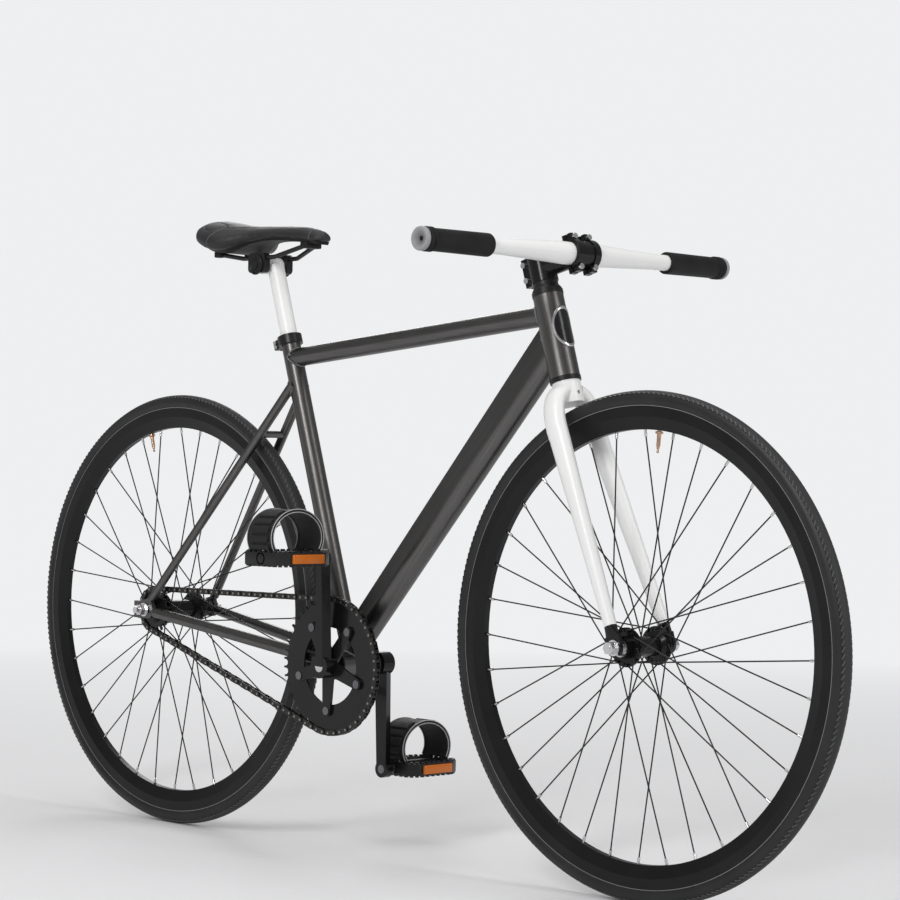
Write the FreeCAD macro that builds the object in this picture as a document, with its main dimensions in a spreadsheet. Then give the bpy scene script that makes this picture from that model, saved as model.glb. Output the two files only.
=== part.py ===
import FreeCAD, Part
import math
import os
import Sketcher
from FreeCAD import Matrix, Placement, Rotation, Vector
from types import SimpleNamespace

doc = FreeCAD.newDocument("fixed_gear_bike")
sheet = doc.addObject("Spreadsheet::Sheet", "Sizes")

# Driving dimensions, in millimetres and degrees
DRIVING = {
    # where the axles and the head axis stand
    "wheelbase": 965,
    "bracket_drop": 61,
    "head_angle": 73.2,
    "seat_angle": 72.3,
    "fork_rake": 36,
    "axle_to_head": 380,
    # clearances
    "press_gap": 0.02,
    "running_gap": 0.06,
    "slide_gap": 0.05,
    "soft_gap": 0.3,
    # frame tubes
    "head_tube_length": 117,
    "head_tube_radius": 21,
    "head_tube_wall": 3,
    "seat_tube_length": 508,
    "seat_tube_radius": 14.3,
    "seat_slot_width": 2.4,
    "seat_slot_length": 30,
    "top_tube_radius": 14,
    "top_tube_wall": 1.6,
    "top_tube_on_head": 90,
    "top_tube_on_seat": 473,
    "down_tube_radius": 17,
    "down_tube_wall": 2,
    "down_tube_on_head": 44,
    "down_tube_above_bracket": 12,
    "down_tube_edge_low": 36,
    "down_tube_edge_high": 44,
    "shell_radius": 20,
    "shell_width": 68,
    "shell_bore": 17.2,
    "chainstay_front_radius": 10,
    "chainstay_rear_radius": 8,
    "chainstay_wall": 1.5,
    "chainstay_spread": 22,
    "seatstay_top_radius": 7,
    "seatstay_low_radius": 6.2,
    "seatstay_wall": 1.2,
    "seatstay_spread": 12,
    "seatstay_on_seat": 431,
    "bridge_radius": 5.5,
    "seat_bridge_out": 354,
    "chain_bridge_behind": 58,
    # track ends
    "rear_width": 120,
    "end_plate": 6,
    "end_reach": 26,
    "end_half_height": 13,
    "end_slot_ahead": 13,
    "end_slot_gap": 0.2,
    "end_tab_long": 34,
    "end_tab_half": 4,
    "stay_stop": 24,
    # seat clamp
    "clamp_radius": 18.4,
    "clamp_height": 14,
    "clamp_ear_reach": 28,
    "clamp_ear_half": 9,
    "clamp_bolt_radius": 2.2,
    "clamp_bolt_head": 3,
    # headset
    "cup_lip_radius": 21.6,
    "cup_height": 6,
    "cup_depth": 10,
    "head_bearing_radius": 16.6,
    "head_bearing_height": 7,
    "headset_gap": 0.5,
    "cover_height": 7,
    "cover_radius": 20.5,
    "spacer_height": 6,
    "spacer_radius": 17.2,
    # fork
    "steerer_radius": 14.3,
    "steerer_wall": 2.3,
    "crown_radius": 19.5,
    "crown_height": 31,
    "brake_hole_radius": 3,
    "brake_hole_below": 19,
    "shoulder_spread": 13,
    "shoulder_drop": 14,
    "blade_spread": 37,
    "blade_top_drop": 58,
    "blade_deep": 16.5,
    "blade_wide": 11.5,
    "blade_tip_radius": 8.6,
    "blade_wall": 1.6,
    "blade_tip_above": 29,
    "front_width": 100,
    "tip_plate": 5,
    "tip_radius": 12.5,
    # stem and handlebar
    "stem_height": 40,
    "stem_radius": 18.8,
    "stem_reach": 70,
    "stem_drop": 4,
    "stem_arm_radius": 14.5,
    "stem_clamp_radius": 20.6,
    "stem_clamp_width": 44,
    "stem_band_width": 11,
    "stem_band_rise": 1.6,
    "stem_split": 2.4,
    "stem_ear_half": 5.4,
    "stem_ear_reach": 8,
    "stem_bolt_out": 21.5,
    "stem_bolt_aside": 14,
    "stem_bolt_radius": 2.4,
    "stem_bolt_head": 4,
    "stem_bolt_head_high": 4.5,
    "pinch_bolt_behind": 22.5,
    "pinch_bolt_apart": 22,
    "pinch_ear_half": 9,
    "top_cap_radius": 17,
    "top_cap_height": 5,
    "bar_half_length": 294,
    "bar_middle_radius": 15.4,
    "bar_end_radius": 11.1,
    "bar_bore": 8.9,
    "bar_bulge_half": 34,
    "bar_taper_end": 150,
    "grip_length": 118,
    "grip_radius": 15.6,
    "grip_collar_radius": 16.3,
    "grip_collar_width": 5,
    "plug_radius": 15.8,
    "plug_thick": 7,
    "plug_depth": 22,
    "plug_dimple": 3,
    # wheels
    "rim_bead_radius": 311,
    "rim_flange_height": 5.5,
    "rim_inner_radius": 284.5,
    "rim_half_width": 10,
    "rim_tip_half": 4.5,
    "rim_wall": 1.7,
    "rim_side_height": 15,
    "tyre_height": 25,
    "tyre_width": 25,
    "tyre_wall": 1.8,
    "tube_wall": 1.2,
    "spoke_pairs": 9,
    "spoke_crosses": 3,
    "spoke_radius": 1,
    "spoke_hole_gap": 0.3,
    "spoke_bow": 2.5,
    "nipple_radius": 1.95,
    "nipple_length": 14,
    "nipple_head": 2.8,
    "nipple_hole_gap": 0.7,
    "valve_radius": 3,
    "valve_out": 30,
    "front_valve_angle": 85,
    "rear_valve_angle": 105,
    "flange_radius": 26,
    "flange_hole_circle": 22.3,
    "flange_thick": 3,
    "front_flange_half": 30,
    "rear_flange_half": 33,
    "hub_barrel_radius": 13.5,
    "hub_end_radius": 15,
    "hub_bearing_radius": 12.5,
    "hub_bearing_width": 8,
    "hub_end_short": 7,
    "front_axle_radius": 4.5,
    "front_axle_half": 68,
    "rear_axle_radius": 5,
    "rear_axle_half": 85,
    "washer_thick": 2,
    "washer_radius": 10.5,
    "nut_across": 15,
    "nut_height": 10,
    "locknut_radius": 8.5,
    # chain, chainring and cog
    "chain_pitch": 12.7,
    "chain_links": 98,
    "chain_line": 45,
    "ring_teeth": 48,
    "cog_teeth": 16,
    "tooth_thick": 3,
    "tooth_height": 3.4,
    "tooth_flare": 1,
    "roller_radius": 3.85,
    "roller_gap": 0.8,
    "plate_radius": 4.1,
    "plate_thick": 1.0,
    "inner_plate_in": 1.9,
    "outer_plate_in": 3.2,
    "pin_radius": 1.75,
    "pin_gap": 0.2,
    "pin_half": 4.6,
    "ring_bore": 56,
    "ring_bolt_circle": 65,
    "ring_bolt_radius": 4.2,
    "ring_bolt_head": 6,
    "spider_arms": 5,
    "spider_thick": 4,
    "spider_root_half": 12,
    "spider_tip_half": 8,
    "cog_bore": 17,
    "lockring_radius": 19.5,
    "lockring_thick": 4,
    # cranks and pedals
    "crank_length": 158,
    "crank_angle": 88,
    "crank_boss_radius": 17,
    "crank_boss_out": 68,
    "crank_arm_half": 13,
    "crank_arm_thick": 13,
    "crank_end_half": 10,
    "crank_end_radius": 12.5,
    "crank_end_out": 77,
    "spindle_radius": 8.5,
    "spindle_half": 60,
    "bracket_lip": 2.5,
    "crank_bolt_head": 8,
    "pedal_spindle_radius": 6.5,
    "pedal_collar_radius": 8.5,
    "pedal_gap": 10,
    "pedal_width": 100,
    "pedal_long": 88,
    "pedal_bar_half": 34,
    "pedal_side_half": 34,
    "pedal_high": 23,
    "pedal_rim": 6,
    "pedal_front_rim": 8,
    "pedal_tube_radius": 10,
    "strap_long": 52,
    "strap_ahead": 22,
    "strap_thick": 3,
    "strap_rise": 58,
    "strap_hang": 5,
    "reflector_wide": 58,
    "reflector_high": 13,
    "reflector_thick": 4,
    # seat
    "seatpost_radius": 12.7,
    "seatpost_wall": 2.2,
    "seatpost_inside": 90,
    "seatpost_out": 113,
    "seatpost_setback": 12,
    "post_head_radius": 13,
    "post_head_half": 17,
    "post_head_solid": 22,
    "cradle_bolt_radius": 4,
    "cradle_bolt_head": 6.5,
    "cradle_long": 38,
    "cradle_thick": 11,
    "cradle_round": 7,
    "cradle_below": 12,
    "cradle_above": 7,
    "rail_radius": 3.5,
    "rail_spread": 22,
    "rail_above_bolt": 11,
    "rail_flat_half": 36,
    "rail_nose_spread": 9,
    "rail_tail_spread": 30,
    "rail_bend": 18,
    "saddle_ahead": 131,
    "saddle_length": 264,
    "saddle_width": 130,
    "saddle_shell_thick": 5,
}

for row, (alias, number) in enumerate(DRIVING.items(), start=1):
    sheet.set(f"A{row}", alias)
    sheet.set(f"B{row}", str(number))
    sheet.setAlias(f"B{row}", alias)
doc.recompute()


def words(number):
    """The text that stands for a size or a plain number in an expression."""
    return number.text if isinstance(number, Size) else repr(float(number))


class Size:
    """A number of the sheet, together with the expression that gives it."""

    def __init__(self, value, text):
        self.value = float(value)
        self.text = text

    def __float__(self):
        return self.value

    def __neg__(self):
        return Size(-self.value, f"(-{self.text})")

    def __add__(self, other):
        return Size(self.value + float(other), f"({self.text} + {words(other)})")

    def __radd__(self, other):
        return Size(float(other) + self.value, f"({words(other)} + {self.text})")

    def __sub__(self, other):
        return Size(self.value - float(other), f"({self.text} - {words(other)})")

    def __rsub__(self, other):
        return Size(float(other) - self.value, f"({words(other)} - {self.text})")

    def __mul__(self, other):
        return Size(self.value * float(other), f"({self.text} * {words(other)})")

    __rmul__ = __mul__

    def __truediv__(self, other):
        return Size(self.value / float(other), f"({self.text} / {words(other)})")


s = SimpleNamespace(**{alias: Size(sheet.get(alias), f"Sizes.{alias}") for alias in DRIVING})
ACROSS = Vector(0, 1, 0)
UP = Vector(0, 0, 1)
TURN = 2 * math.pi
nodes = {}


def node(label, piece):
    """Keep a finished piece under the name of its file."""
    piece.Label = label
    nodes[label] = piece
    return piece


def bind(piece, **sizes):
    """Set properties, and tie each one that comes from the sheet to its cells."""
    for name, size in sizes.items():
        setattr(piece, name, float(size))
        if isinstance(size, Size):
            piece.setExpression(name, size.text)


def aim(base, direction):
    """The placement that turns the Z axis to a direction, from a base point."""
    return Placement(base, Rotation(UP, direction))


def facing_right(centre, degrees=0):
    """Local x forward, local y up and local z to the right of the bicycle."""
    return Placement(centre, Rotation(Vector(1, 0, 0), 90) * Rotation(UP, degrees))


def scaled(direction, size):
    """A vector of a given length."""
    return Vector(direction) * float(size)


def aside(size):
    """A shift to the left of the bicycle."""
    return scaled(ACROSS, size)


def rod(name, radius, height, base, direction):
    piece = doc.addObject("Part::Cylinder", name)
    bind(piece, Radius=radius, Height=height)
    piece.Placement = aim(base, direction)
    return piece


def cone(name, low, high, start, end):
    piece = doc.addObject("Part::Cone", name)
    bind(piece, Radius1=low, Radius2=high)
    piece.Height = (end - start).Length
    piece.Placement = aim(start, end - start)
    return piece


def block(name, length, width, height, placement, shift):
    """A box whose corner is shifted from a placement."""
    piece = doc.addObject("Part::Box", name)
    bind(piece, Length=length, Width=width, Height=height)
    piece.Placement = placement * Placement(shift, Rotation())
    return piece


def feature(name, shape):
    piece = doc.addObject("Part::Feature", name)
    piece.Shape = shape
    return piece


def fuse(name, *pieces):
    piece = doc.addObject("Part::MultiFuse", name)
    piece.Shapes = list(pieces)
    return piece


def cut(name, base, *tools):
    piece = doc.addObject("Part::Cut", name)
    piece.Base = base
    piece.Tool = tools[0] if len(tools) == 1 else fuse(name + "_tools", *tools)
    return piece


def group(name, *pieces):
    piece = doc.addObject("Part::Compound", name)
    piece.Links = list(pieces)
    return piece


def mirror(name, source):
    """The same piece on the other side of the bicycle."""
    piece = doc.addObject("Part::Mirroring", name)
    piece.Source = source
    piece.Normal = ACROSS
    return piece


def pair(name, source):
    return group(name, source, mirror(name + "_left", source))


def outline(body, name, plane, corners):
    """A closed outline through corners that are tied to their sizes."""
    sketch = body.newObject("Sketcher::SketchObject", name)
    support = next(item for item in body.Origin.OriginFeatures if item.Role == plane)
    sketch.AttachmentSupport = [(support, "")]
    sketch.MapMode = "FlatFace"
    add_loop(sketch, corners)
    return sketch


def add_loop(sketch, corners):
    first = sketch.GeometryCount
    count = len(corners)
    points = [Vector(float(x), float(y), 0) for x, y in corners]
    for start, end in zip(points, points[1:] + points[:1]):
        sketch.addGeometry(Part.LineSegment(start, end), False)
    for edge in range(count):
        after = first + (edge + 1) % count
        sketch.addConstraint(Sketcher.Constraint("Coincident", first + edge, 2, after, 1))
    for edge, (x, y) in enumerate(corners, start=first):
        pin_point(sketch, edge, 1, "X", x)
        pin_point(sketch, edge, 1, "Y", y)


def pin_point(sketch, edge, end, way, size):
    """Hold one point of a sketch at its distance from the origin."""
    if float(size) == 0:
        axis = -2 if way == "X" else -1
        sketch.addConstraint(Sketcher.Constraint("PointOnObject", edge, end, axis))
        return
    index = sketch.addConstraint(Sketcher.Constraint("Distance" + way, -1, 1, edge, end, float(size)))
    if isinstance(size, Size):
        sketch.setExpression(f"Constraints[{index}]", size.text)


def turned(name, corners, placement, hollow=None):
    """A body turned about its Z axis from corners of radius and height."""
    body = doc.addObject("PartDesign::Body", name)
    sketch = outline(body, name + "_profile", "XZ_Plane", corners)
    if hollow:
        add_loop(sketch, hollow)
    revolution = body.newObject("PartDesign::Revolution", name + "_turn")
    revolution.Profile = sketch
    revolution.ReferenceAxis = (sketch, ["V_Axis"])
    revolution.Angle = 360
    body.Placement = placement
    return body


def ring(name, bore, radius, low, high, placement):
    return turned(name, [(bore, low), (radius, low), (radius, high), (bore, high)], placement)


def padded(name, corners, thickness, placement):
    """A plate of an outline in local x and y, half its thickness to each side."""
    body = doc.addObject("PartDesign::Body", name)
    pad = body.newObject("PartDesign::Pad", name + "_pad")
    pad.Profile = outline(body, name + "_outline", "XY_Plane", corners)
    bind(pad, Length=thickness)
    pad.Midplane = True
    body.Placement = placement
    return body


def cylinder(radius, start, end):
    """A plain round bar between two points."""
    return Part.makeCylinder(float(radius), (end - start).Length, start, end - start)


def polar(radius, angle, across=0.0):
    """A point around a wheel's axis, the angle counted from forward to up."""
    return Vector(float(radius) * math.cos(angle), float(across), float(radius) * math.sin(angle))


def moved(shape, place):
    copy = shape.copy()
    copy.translate(place)
    return copy


# Axles, bottom bracket and the two leaning axes
wheel_radius = s.rim_bead_radius + s.tyre_height
rear_axle = Vector(-s.wheelbase / 2, 0, wheel_radius)
front_axle = Vector(s.wheelbase / 2, 0, wheel_radius)
ring_path = s.ring_teeth * s.chain_pitch / TURN
cog_path = s.cog_teeth * s.chain_pitch / TURN
path_step = float(ring_path) - float(cog_path)


def chain_run(centres):
    """The straight run of chain between the ring and the cog."""
    return math.sqrt(centres**2 - path_step**2)


def chain_length(centres):
    lean = math.asin(path_step / centres)
    ring_arc = float(ring_path) * (math.pi + 2 * lean)
    cog_arc = float(cog_path) * (math.pi - 2 * lean)
    return 2 * chain_run(centres) + ring_arc + cog_arc


# The chain's length sets how far the bottom bracket stands from the rear axle
loop = float(s.chain_links) * float(s.chain_pitch)
centres = (loop - math.pi * (float(ring_path) + float(cog_path))) / 2
for _ in range(60):
    centres += (loop - chain_length(centres)) / 2
bracket = rear_axle + Vector(math.sqrt(centres**2 - float(s.bracket_drop) ** 2), 0, -s.bracket_drop)

head_lean = math.radians(s.head_angle)
along = Vector(-math.cos(head_lean), 0, math.sin(head_lean))
ahead = Vector(math.sin(head_lean), 0, math.cos(head_lean))
head_foot = front_axle - scaled(ahead, s.fork_rake)
seat_lean = math.radians(s.seat_angle)
seat_up = Vector(-math.cos(seat_lean), 0, math.sin(seat_lean))


def on_head(height, forward=0.0, side=0.0):
    """A point measured along the head axis, ahead of it and to the left."""
    return head_foot + scaled(along, height) + scaled(ahead, forward) + aside(side)


def on_seat(height):
    return bracket + scaled(seat_up, height)


head_low = s.axle_to_head
head_high = head_low + s.head_tube_length
head_frame = aim(on_head(0), along)
seat_frame = aim(bracket, seat_up)

# Frame tubes
head_outer = rod("head_outer", s.head_tube_radius, s.head_tube_length, on_head(head_low), along)
head_inner_radius = s.head_tube_radius - s.head_tube_wall
head_bore = rod("head_bore", head_inner_radius, s.head_tube_length, on_head(head_low), along)
node("head_tube", cut("head_tube", head_outer, head_bore))

shell_start = bracket - aside(s.shell_width / 2)
shell_outer = rod("shell_outer", s.shell_radius, s.shell_width, shell_start, ACROSS)
shell_inner = rod("shell_inner", s.shell_bore, s.shell_width, shell_start, ACROSS)
node("bottom_bracket_shell", cut("bottom_bracket_shell", shell_outer, shell_inner))

seat_outer = rod("seat_outer", s.seat_tube_radius, s.seat_tube_length, bracket, seat_up)
seat_bore = rod("seat_bore", s.seatpost_radius + s.slide_gap, s.seat_tube_length, bracket, seat_up)
seat_slot = block(
    "seat_slot", s.seat_tube_radius * 2, s.seat_slot_width, s.seat_slot_length, seat_frame,
    Vector(-s.seat_tube_radius * 2, -s.seat_slot_width / 2, s.seat_tube_length - s.seat_slot_length),
)
node("seat_tube", cut("seat_tube", seat_outer, seat_bore, seat_slot, shell_outer))

top_start = on_seat(s.top_tube_on_seat)
top_end = on_head(head_low + s.top_tube_on_head)
top_length = (top_end - top_start).Length
top_outer = rod("top_outer", s.top_tube_radius, top_length, top_start, top_end - top_start)
top_bore = rod("top_bore", s.top_tube_radius - s.top_tube_wall, top_length, top_start, top_end - top_start)
node("top_tube", cut("top_tube", top_outer, top_bore, head_outer, seat_outer))


def teardrop(centre, edge_way, radius, edge):
    """A round belly with two flat sides that meet in one edge."""
    half = math.asin(radius / edge)
    touch = math.pi / 2 - half
    middle = (touch + math.pi) / 2

    def point(angle, side):
        return centre + scaled(edge_way, radius * math.cos(angle)) + aside(side * radius * math.sin(angle))

    tip = centre + scaled(edge_way, edge)
    belly = centre - scaled(edge_way, radius)
    return Part.Wire([
        Part.makeLine(tip, point(touch, 1)),
        Part.Arc(point(touch, 1), point(middle, 1), belly).toShape(),
        Part.Arc(belly, point(middle, -1), point(touch, -1)).toShape(),
        Part.makeLine(point(touch, -1), tip),
    ])


def down_tube_solid(inset):
    """The down tube's outer form, or its hollow at an inset, run past both joints."""
    head_end = on_head(head_low + s.down_tube_on_head)
    run = (head_end - bracket).normalize()
    edge_way = Vector(-run.z, 0, run.x)
    low_end = bracket + scaled(edge_way, s.down_tube_above_bracket)
    run = (head_end - low_end).normalize()
    edge_way = Vector(-run.z, 0, run.x)
    span = (head_end - low_end).Length
    growth = (float(s.down_tube_edge_high) - float(s.down_tube_edge_low)) / span
    wires = []
    for place in (-float(s.shell_radius), span + float(s.head_tube_radius) * 2):
        edge = float(s.down_tube_edge_low) + growth * place
        radius = float(s.down_tube_radius)
        if inset:
            edge -= inset / (radius / edge)
            radius -= inset
        wires.append(teardrop(low_end + scaled(run, place), edge_way, radius, edge))
    return Part.makeLoft(wires, True, True)


down_outer = feature("down_outer", down_tube_solid(0.0))
down_inner = feature("down_inner", down_tube_solid(float(s.down_tube_wall)))
behind_seat = block(
    "behind_seat", s.seat_tube_length, s.seat_tube_length, s.seat_tube_length, seat_frame,
    Vector(-s.seat_tube_length, -s.seat_tube_length / 2, -s.shell_radius * 3),
)
past_head = block(
    "past_head", s.seat_tube_length, s.seat_tube_length, s.seat_tube_length, head_frame,
    Vector(0, -s.seat_tube_length / 2, head_low - s.head_tube_length),
)
node("down_tube", cut("down_tube", down_outer, down_inner, shell_outer, seat_outer, head_outer, top_outer,
                      behind_seat, past_head))

# Stays, bridges and track ends, built on the right and mirrored
end_middle = -(s.rear_width + s.end_plate) / 2
chain_way = (bracket - rear_axle).normalize()
seat_way = (on_seat(s.seatstay_on_seat) - rear_axle).normalize()
chainstay_front = bracket - aside(s.chainstay_spread)
chainstay_rear = rear_axle + scaled(chain_way, s.stay_stop) + aside(end_middle)
seatstay_top = on_seat(s.seatstay_on_seat) - aside(s.seatstay_spread)
seatstay_low = rear_axle + scaled(seat_way, s.stay_stop) + aside(end_middle)


def track_end():
    """A flat plate with a slot that opens to the rear, and a tab into each stay."""
    reach, half = float(s.end_reach), float(s.end_half_height)
    tab, long = float(s.end_tab_half), float(s.end_tab_long)

    def on_tab(way, out, side):
        across = Vector(-way.z, 0, way.x)
        return scaled(way, out) + scaled(across, side)

    neck = float(s.stay_stop) - tab
    corners = [
        Vector(-reach, 0, -half),
        Vector(half, 0, -half),
        on_tab(chain_way, neck, -tab),
        on_tab(chain_way, long, -tab),
        on_tab(chain_way, long, tab),
        on_tab(chain_way, neck, tab),
        on_tab(seat_way, neck, -tab),
        on_tab(seat_way, long, -tab),
        on_tab(seat_way, long, tab),
        on_tab(seat_way, neck, tab),
        Vector(-half, 0, half),
        Vector(-reach, 0, half),
    ]
    plate = Part.Face(Part.makePolygon(corners + corners[:1])).extrude(-aside(s.end_plate))
    slot_half = float(s.rear_axle_radius + s.end_slot_gap)
    front = float(s.end_slot_ahead) - slot_half
    slot = Part.makeBox(reach * 2 + front, float(s.end_plate), slot_half * 2)
    slot.translate(Vector(-reach * 2, -s.end_plate, -slot_half))
    nose = Part.makeCylinder(slot_half, float(s.end_plate), Vector(front, 0, 0), -ACROSS)
    return plate.cut([slot, nose])


end_right = feature("end_right", track_end())
end_right.Placement = Placement(rear_axle - aside(s.rear_width / 2), Rotation())
node("track_ends", pair("track_ends", end_right))


def stay(name, start_radius, end_radius, wall, start, end, *neighbours):
    """A tapered tube whose rear end is solid around the track end's tab."""
    outer = cone(name + "_outer", start_radius, end_radius, start, end)
    plug = end - scaled((end - start).normalize(), s.end_tab_long - s.stay_stop + s.end_plate)
    inner = cone(name + "_inner", start_radius - wall, end_radius - wall, start, plug)
    return outer, cut(name + "_right", outer, inner, *neighbours)


chainstay_outer, chainstay_right = stay(
    "chainstay", s.chainstay_front_radius, s.chainstay_rear_radius, s.chainstay_wall,
    chainstay_front, chainstay_rear, shell_outer, end_right,
)
seatstay_outer, seatstay_right = stay(
    "seatstay", s.seatstay_top_radius, s.seatstay_low_radius, s.seatstay_wall,
    seatstay_top, seatstay_low, seat_outer, end_right,
)
node("chainstays", pair("chainstays", chainstay_right))
node("seatstays", pair("seatstays", seatstay_right))


def bridge(name, start, end, share, stay_outer):
    """A short tube between two stays, at a share of their length."""
    right = start + (end - start) * share
    length = abs(right.y) * 2
    tube = rod(name + "_tube", s.bridge_radius, length, right, ACROSS)
    return cut(name, tube, stay_outer, mirror(name + "_stay_left", stay_outer))


seatstay_span = (seatstay_top - seatstay_low).Length
seat_bridge_share = (float(s.seat_bridge_out) - float(s.stay_stop)) / seatstay_span
chainstay_span = (chainstay_front - chainstay_rear).Length
chain_bridge_share = float(s.chain_bridge_behind) / chainstay_span
node("stay_bridges", group(
    "stay_bridges",
    bridge("seat_bridge", seatstay_low, seatstay_top, seat_bridge_share, seatstay_outer),
    bridge("chain_bridge", chainstay_front, chainstay_rear, chain_bridge_share, chainstay_outer),
))

# Seat clamp
clamp_base = s.seat_tube_length - s.clamp_height
clamp_ring = rod("clamp_ring", s.clamp_radius, s.clamp_height, on_seat(clamp_base), seat_up)
clamp_ear = block(
    "clamp_ear", s.clamp_ear_reach, s.clamp_ear_half * 2, s.clamp_height, seat_frame,
    Vector(-s.clamp_ear_reach, -s.clamp_ear_half, clamp_base),
)
clamp_bore_radius = s.seat_tube_radius + s.press_gap
clamp_bore = rod("clamp_bore", clamp_bore_radius, s.clamp_height, on_seat(clamp_base), seat_up)
clamp_gap = block(
    "clamp_gap", s.clamp_ear_reach, s.seat_slot_width, s.clamp_height, seat_frame,
    Vector(-s.clamp_ear_reach, -s.seat_slot_width / 2, clamp_base),
)
clamp_bolt_behind = (s.clamp_ear_reach + s.clamp_radius) / 2
clamp_holes, clamp_bolts = [], []
for step in (0.27, 0.73):
    middle = seat_frame.multVec(Vector(-clamp_bolt_behind, 0, clamp_base + s.clamp_height * step))
    hole_radius = s.clamp_bolt_radius + s.running_gap
    right_face = middle - aside(s.clamp_ear_half)
    clamp_holes.append(cylinder(hole_radius, right_face, middle + aside(s.clamp_ear_half)))
    shank = cylinder(s.clamp_bolt_radius, right_face, middle + aside(s.clamp_ear_half))
    head_end = right_face - aside(s.clamp_bolt_radius)
    clamp_bolts.append(shank.fuse(cylinder(s.clamp_bolt_head, head_end, right_face)))
clamp_body = cut("clamp_body", fuse("clamp_blank", clamp_ring, clamp_ear), clamp_bore, clamp_gap,
                 feature("clamp_holes", Part.makeCompound(clamp_holes)))
node("seat_clamp", group("seat_clamp", clamp_body, feature("clamp_bolts", Part.makeCompound(clamp_bolts))))

# Headset
low_cup_place = aim(on_head(head_low), -along)
high_cup_place = aim(on_head(head_high), along)
cup_skirt = head_inner_radius - s.press_gap
cup_bore = s.head_bearing_radius + s.press_gap
cup_corners = [
    (cup_bore, -s.cup_depth),
    (cup_skirt, -s.cup_depth),
    (cup_skirt, 0),
    (s.cup_lip_radius, 0),
    (s.cup_lip_radius, s.cup_height),
    (cup_bore, s.cup_height),
]
node("headset_cups", group(
    "headset_cups",
    turned("low_cup", cup_corners, low_cup_place),
    turned("high_cup", cup_corners, high_cup_place),
))
bearing_bore = s.steerer_radius + s.running_gap
bearing_low = s.cup_height - s.head_bearing_height
node("headset_bearings", group(
    "headset_bearings",
    ring("low_bearing", bearing_bore, s.head_bearing_radius, bearing_low, s.cup_height, low_cup_place),
    ring("high_bearing", bearing_bore, s.head_bearing_radius, bearing_low, s.cup_height, high_cup_place),
))

# Bottom bracket cartridge
bracket_place = aim(bracket, ACROSS)
shell_half = s.shell_width / 2
cartridge_half = shell_half + s.bracket_lip
cartridge_bore = s.spindle_radius + s.running_gap
cartridge_radius = s.shell_bore - s.press_gap
cartridge = turned("bottom_bracket_cartridge", [
    (cartridge_bore, -cartridge_half),
    (s.shell_radius, -cartridge_half),
    (s.shell_radius, -shell_half),
    (cartridge_radius, -shell_half),
    (cartridge_radius, shell_half),
    (s.shell_radius, shell_half),
    (s.shell_radius, cartridge_half),
    (cartridge_bore, cartridge_half),
], bracket_place)
node("bottom_bracket_cartridge", cartridge)


def hexagon_nut(across, bore, base, direction, height):
    corner_radius = float(across) / math.sqrt(3)
    corners = [polar(corner_radius, TURN * step / 6) for step in range(7)]
    nut = Part.Face(Part.makePolygon(corners)).extrude(ACROSS * float(height))
    nut = nut.cut(cylinder(bore, Vector(), ACROSS * float(height)))
    nut.Placement = Placement(base, Rotation(ACROSS, direction))
    return nut


def axle_set(name, centre, radius, half_length, plate_in, plate_out, hub_end):
    """A threaded axle with a locknut inside and a washer and nut outside each plate."""
    bore = radius + s.press_gap
    pieces = [cylinder(radius, centre - aside(half_length), centre + aside(half_length))]
    for side in (-1, 1):
        def at(distance):
            return centre + aside(float(distance) * side)

        locknut = cylinder(s.locknut_radius, at(hub_end), at(plate_in))
        washer = cylinder(s.washer_radius, at(plate_out), at(plate_out + s.washer_thick))
        through = cylinder(bore, centre, at(half_length))
        nut_base = at(plate_out + s.washer_thick)
        pieces += [locknut.cut(through), washer.cut(through)]
        pieces.append(hexagon_nut(s.nut_across, bore, nut_base, ACROSS * side, s.nut_height))
    return feature(name, Part.makeCompound(pieces))


rear_hub_half = s.rear_width / 2 - s.hub_end_short
front_hub_half = s.front_width / 2 - s.hub_end_short
node("rear_axle", axle_set(
    "rear_axle", rear_axle, s.rear_axle_radius, s.rear_axle_half, s.rear_width / 2,
    s.rear_width / 2 + s.end_plate, rear_hub_half + s.soft_gap,
))

# Fork
crown_top = head_low - s.cup_height - s.headset_gap
crown_low = crown_top - s.crown_height
cover_low = head_high + s.cup_height + s.headset_gap
spacer_low = cover_low + s.cover_height
stem_low = spacer_low + s.spacer_height
stem_high = stem_low + s.stem_height
steerer_low = crown_top - s.brake_hole_below + s.brake_hole_radius * 2
steerer_length = stem_high - s.headset_gap * 4 - steerer_low
steerer_outer = rod("steerer_outer", s.steerer_radius, steerer_length, on_head(steerer_low), along)
steerer_bore_radius = s.steerer_radius - s.steerer_wall
steerer_bore = rod("steerer_bore", steerer_bore_radius, steerer_length, on_head(steerer_low), along)
node("fork_steerer", cut("fork_steerer", steerer_outer, steerer_bore))

crown_outer = rod("crown_outer", s.crown_radius, s.crown_height, on_head(crown_low), along)
brake_hole_start = on_head(crown_top - s.brake_hole_below, -s.crown_radius)
brake_hole = rod("brake_hole", s.brake_hole_radius, s.crown_radius * 2, brake_hole_start, ahead)
node("fork_crown", cut("fork_crown", crown_outer, steerer_outer, brake_hole))


def oval(centre, way, deep, wide):
    """An oval square to a way, deep along the bicycle and wide across it."""
    way = Vector(way).normalize()
    deep_way = (ahead - way * ahead.dot(way)).normalize()
    wide_way = way.cross(deep_way)
    deep_way = deep_way * float(deep)
    wide_way = wide_way * float(wide)
    frame = Matrix(
        deep_way.x, wide_way.x, way.x, centre.x,
        deep_way.y, wide_way.y, way.y, centre.y,
        deep_way.z, wide_way.z, way.z, centre.z,
        0, 0, 0, 1,
    )
    return Part.Wire(Part.makeCircle(1).transformGeometry(frame).Edges)


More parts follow.
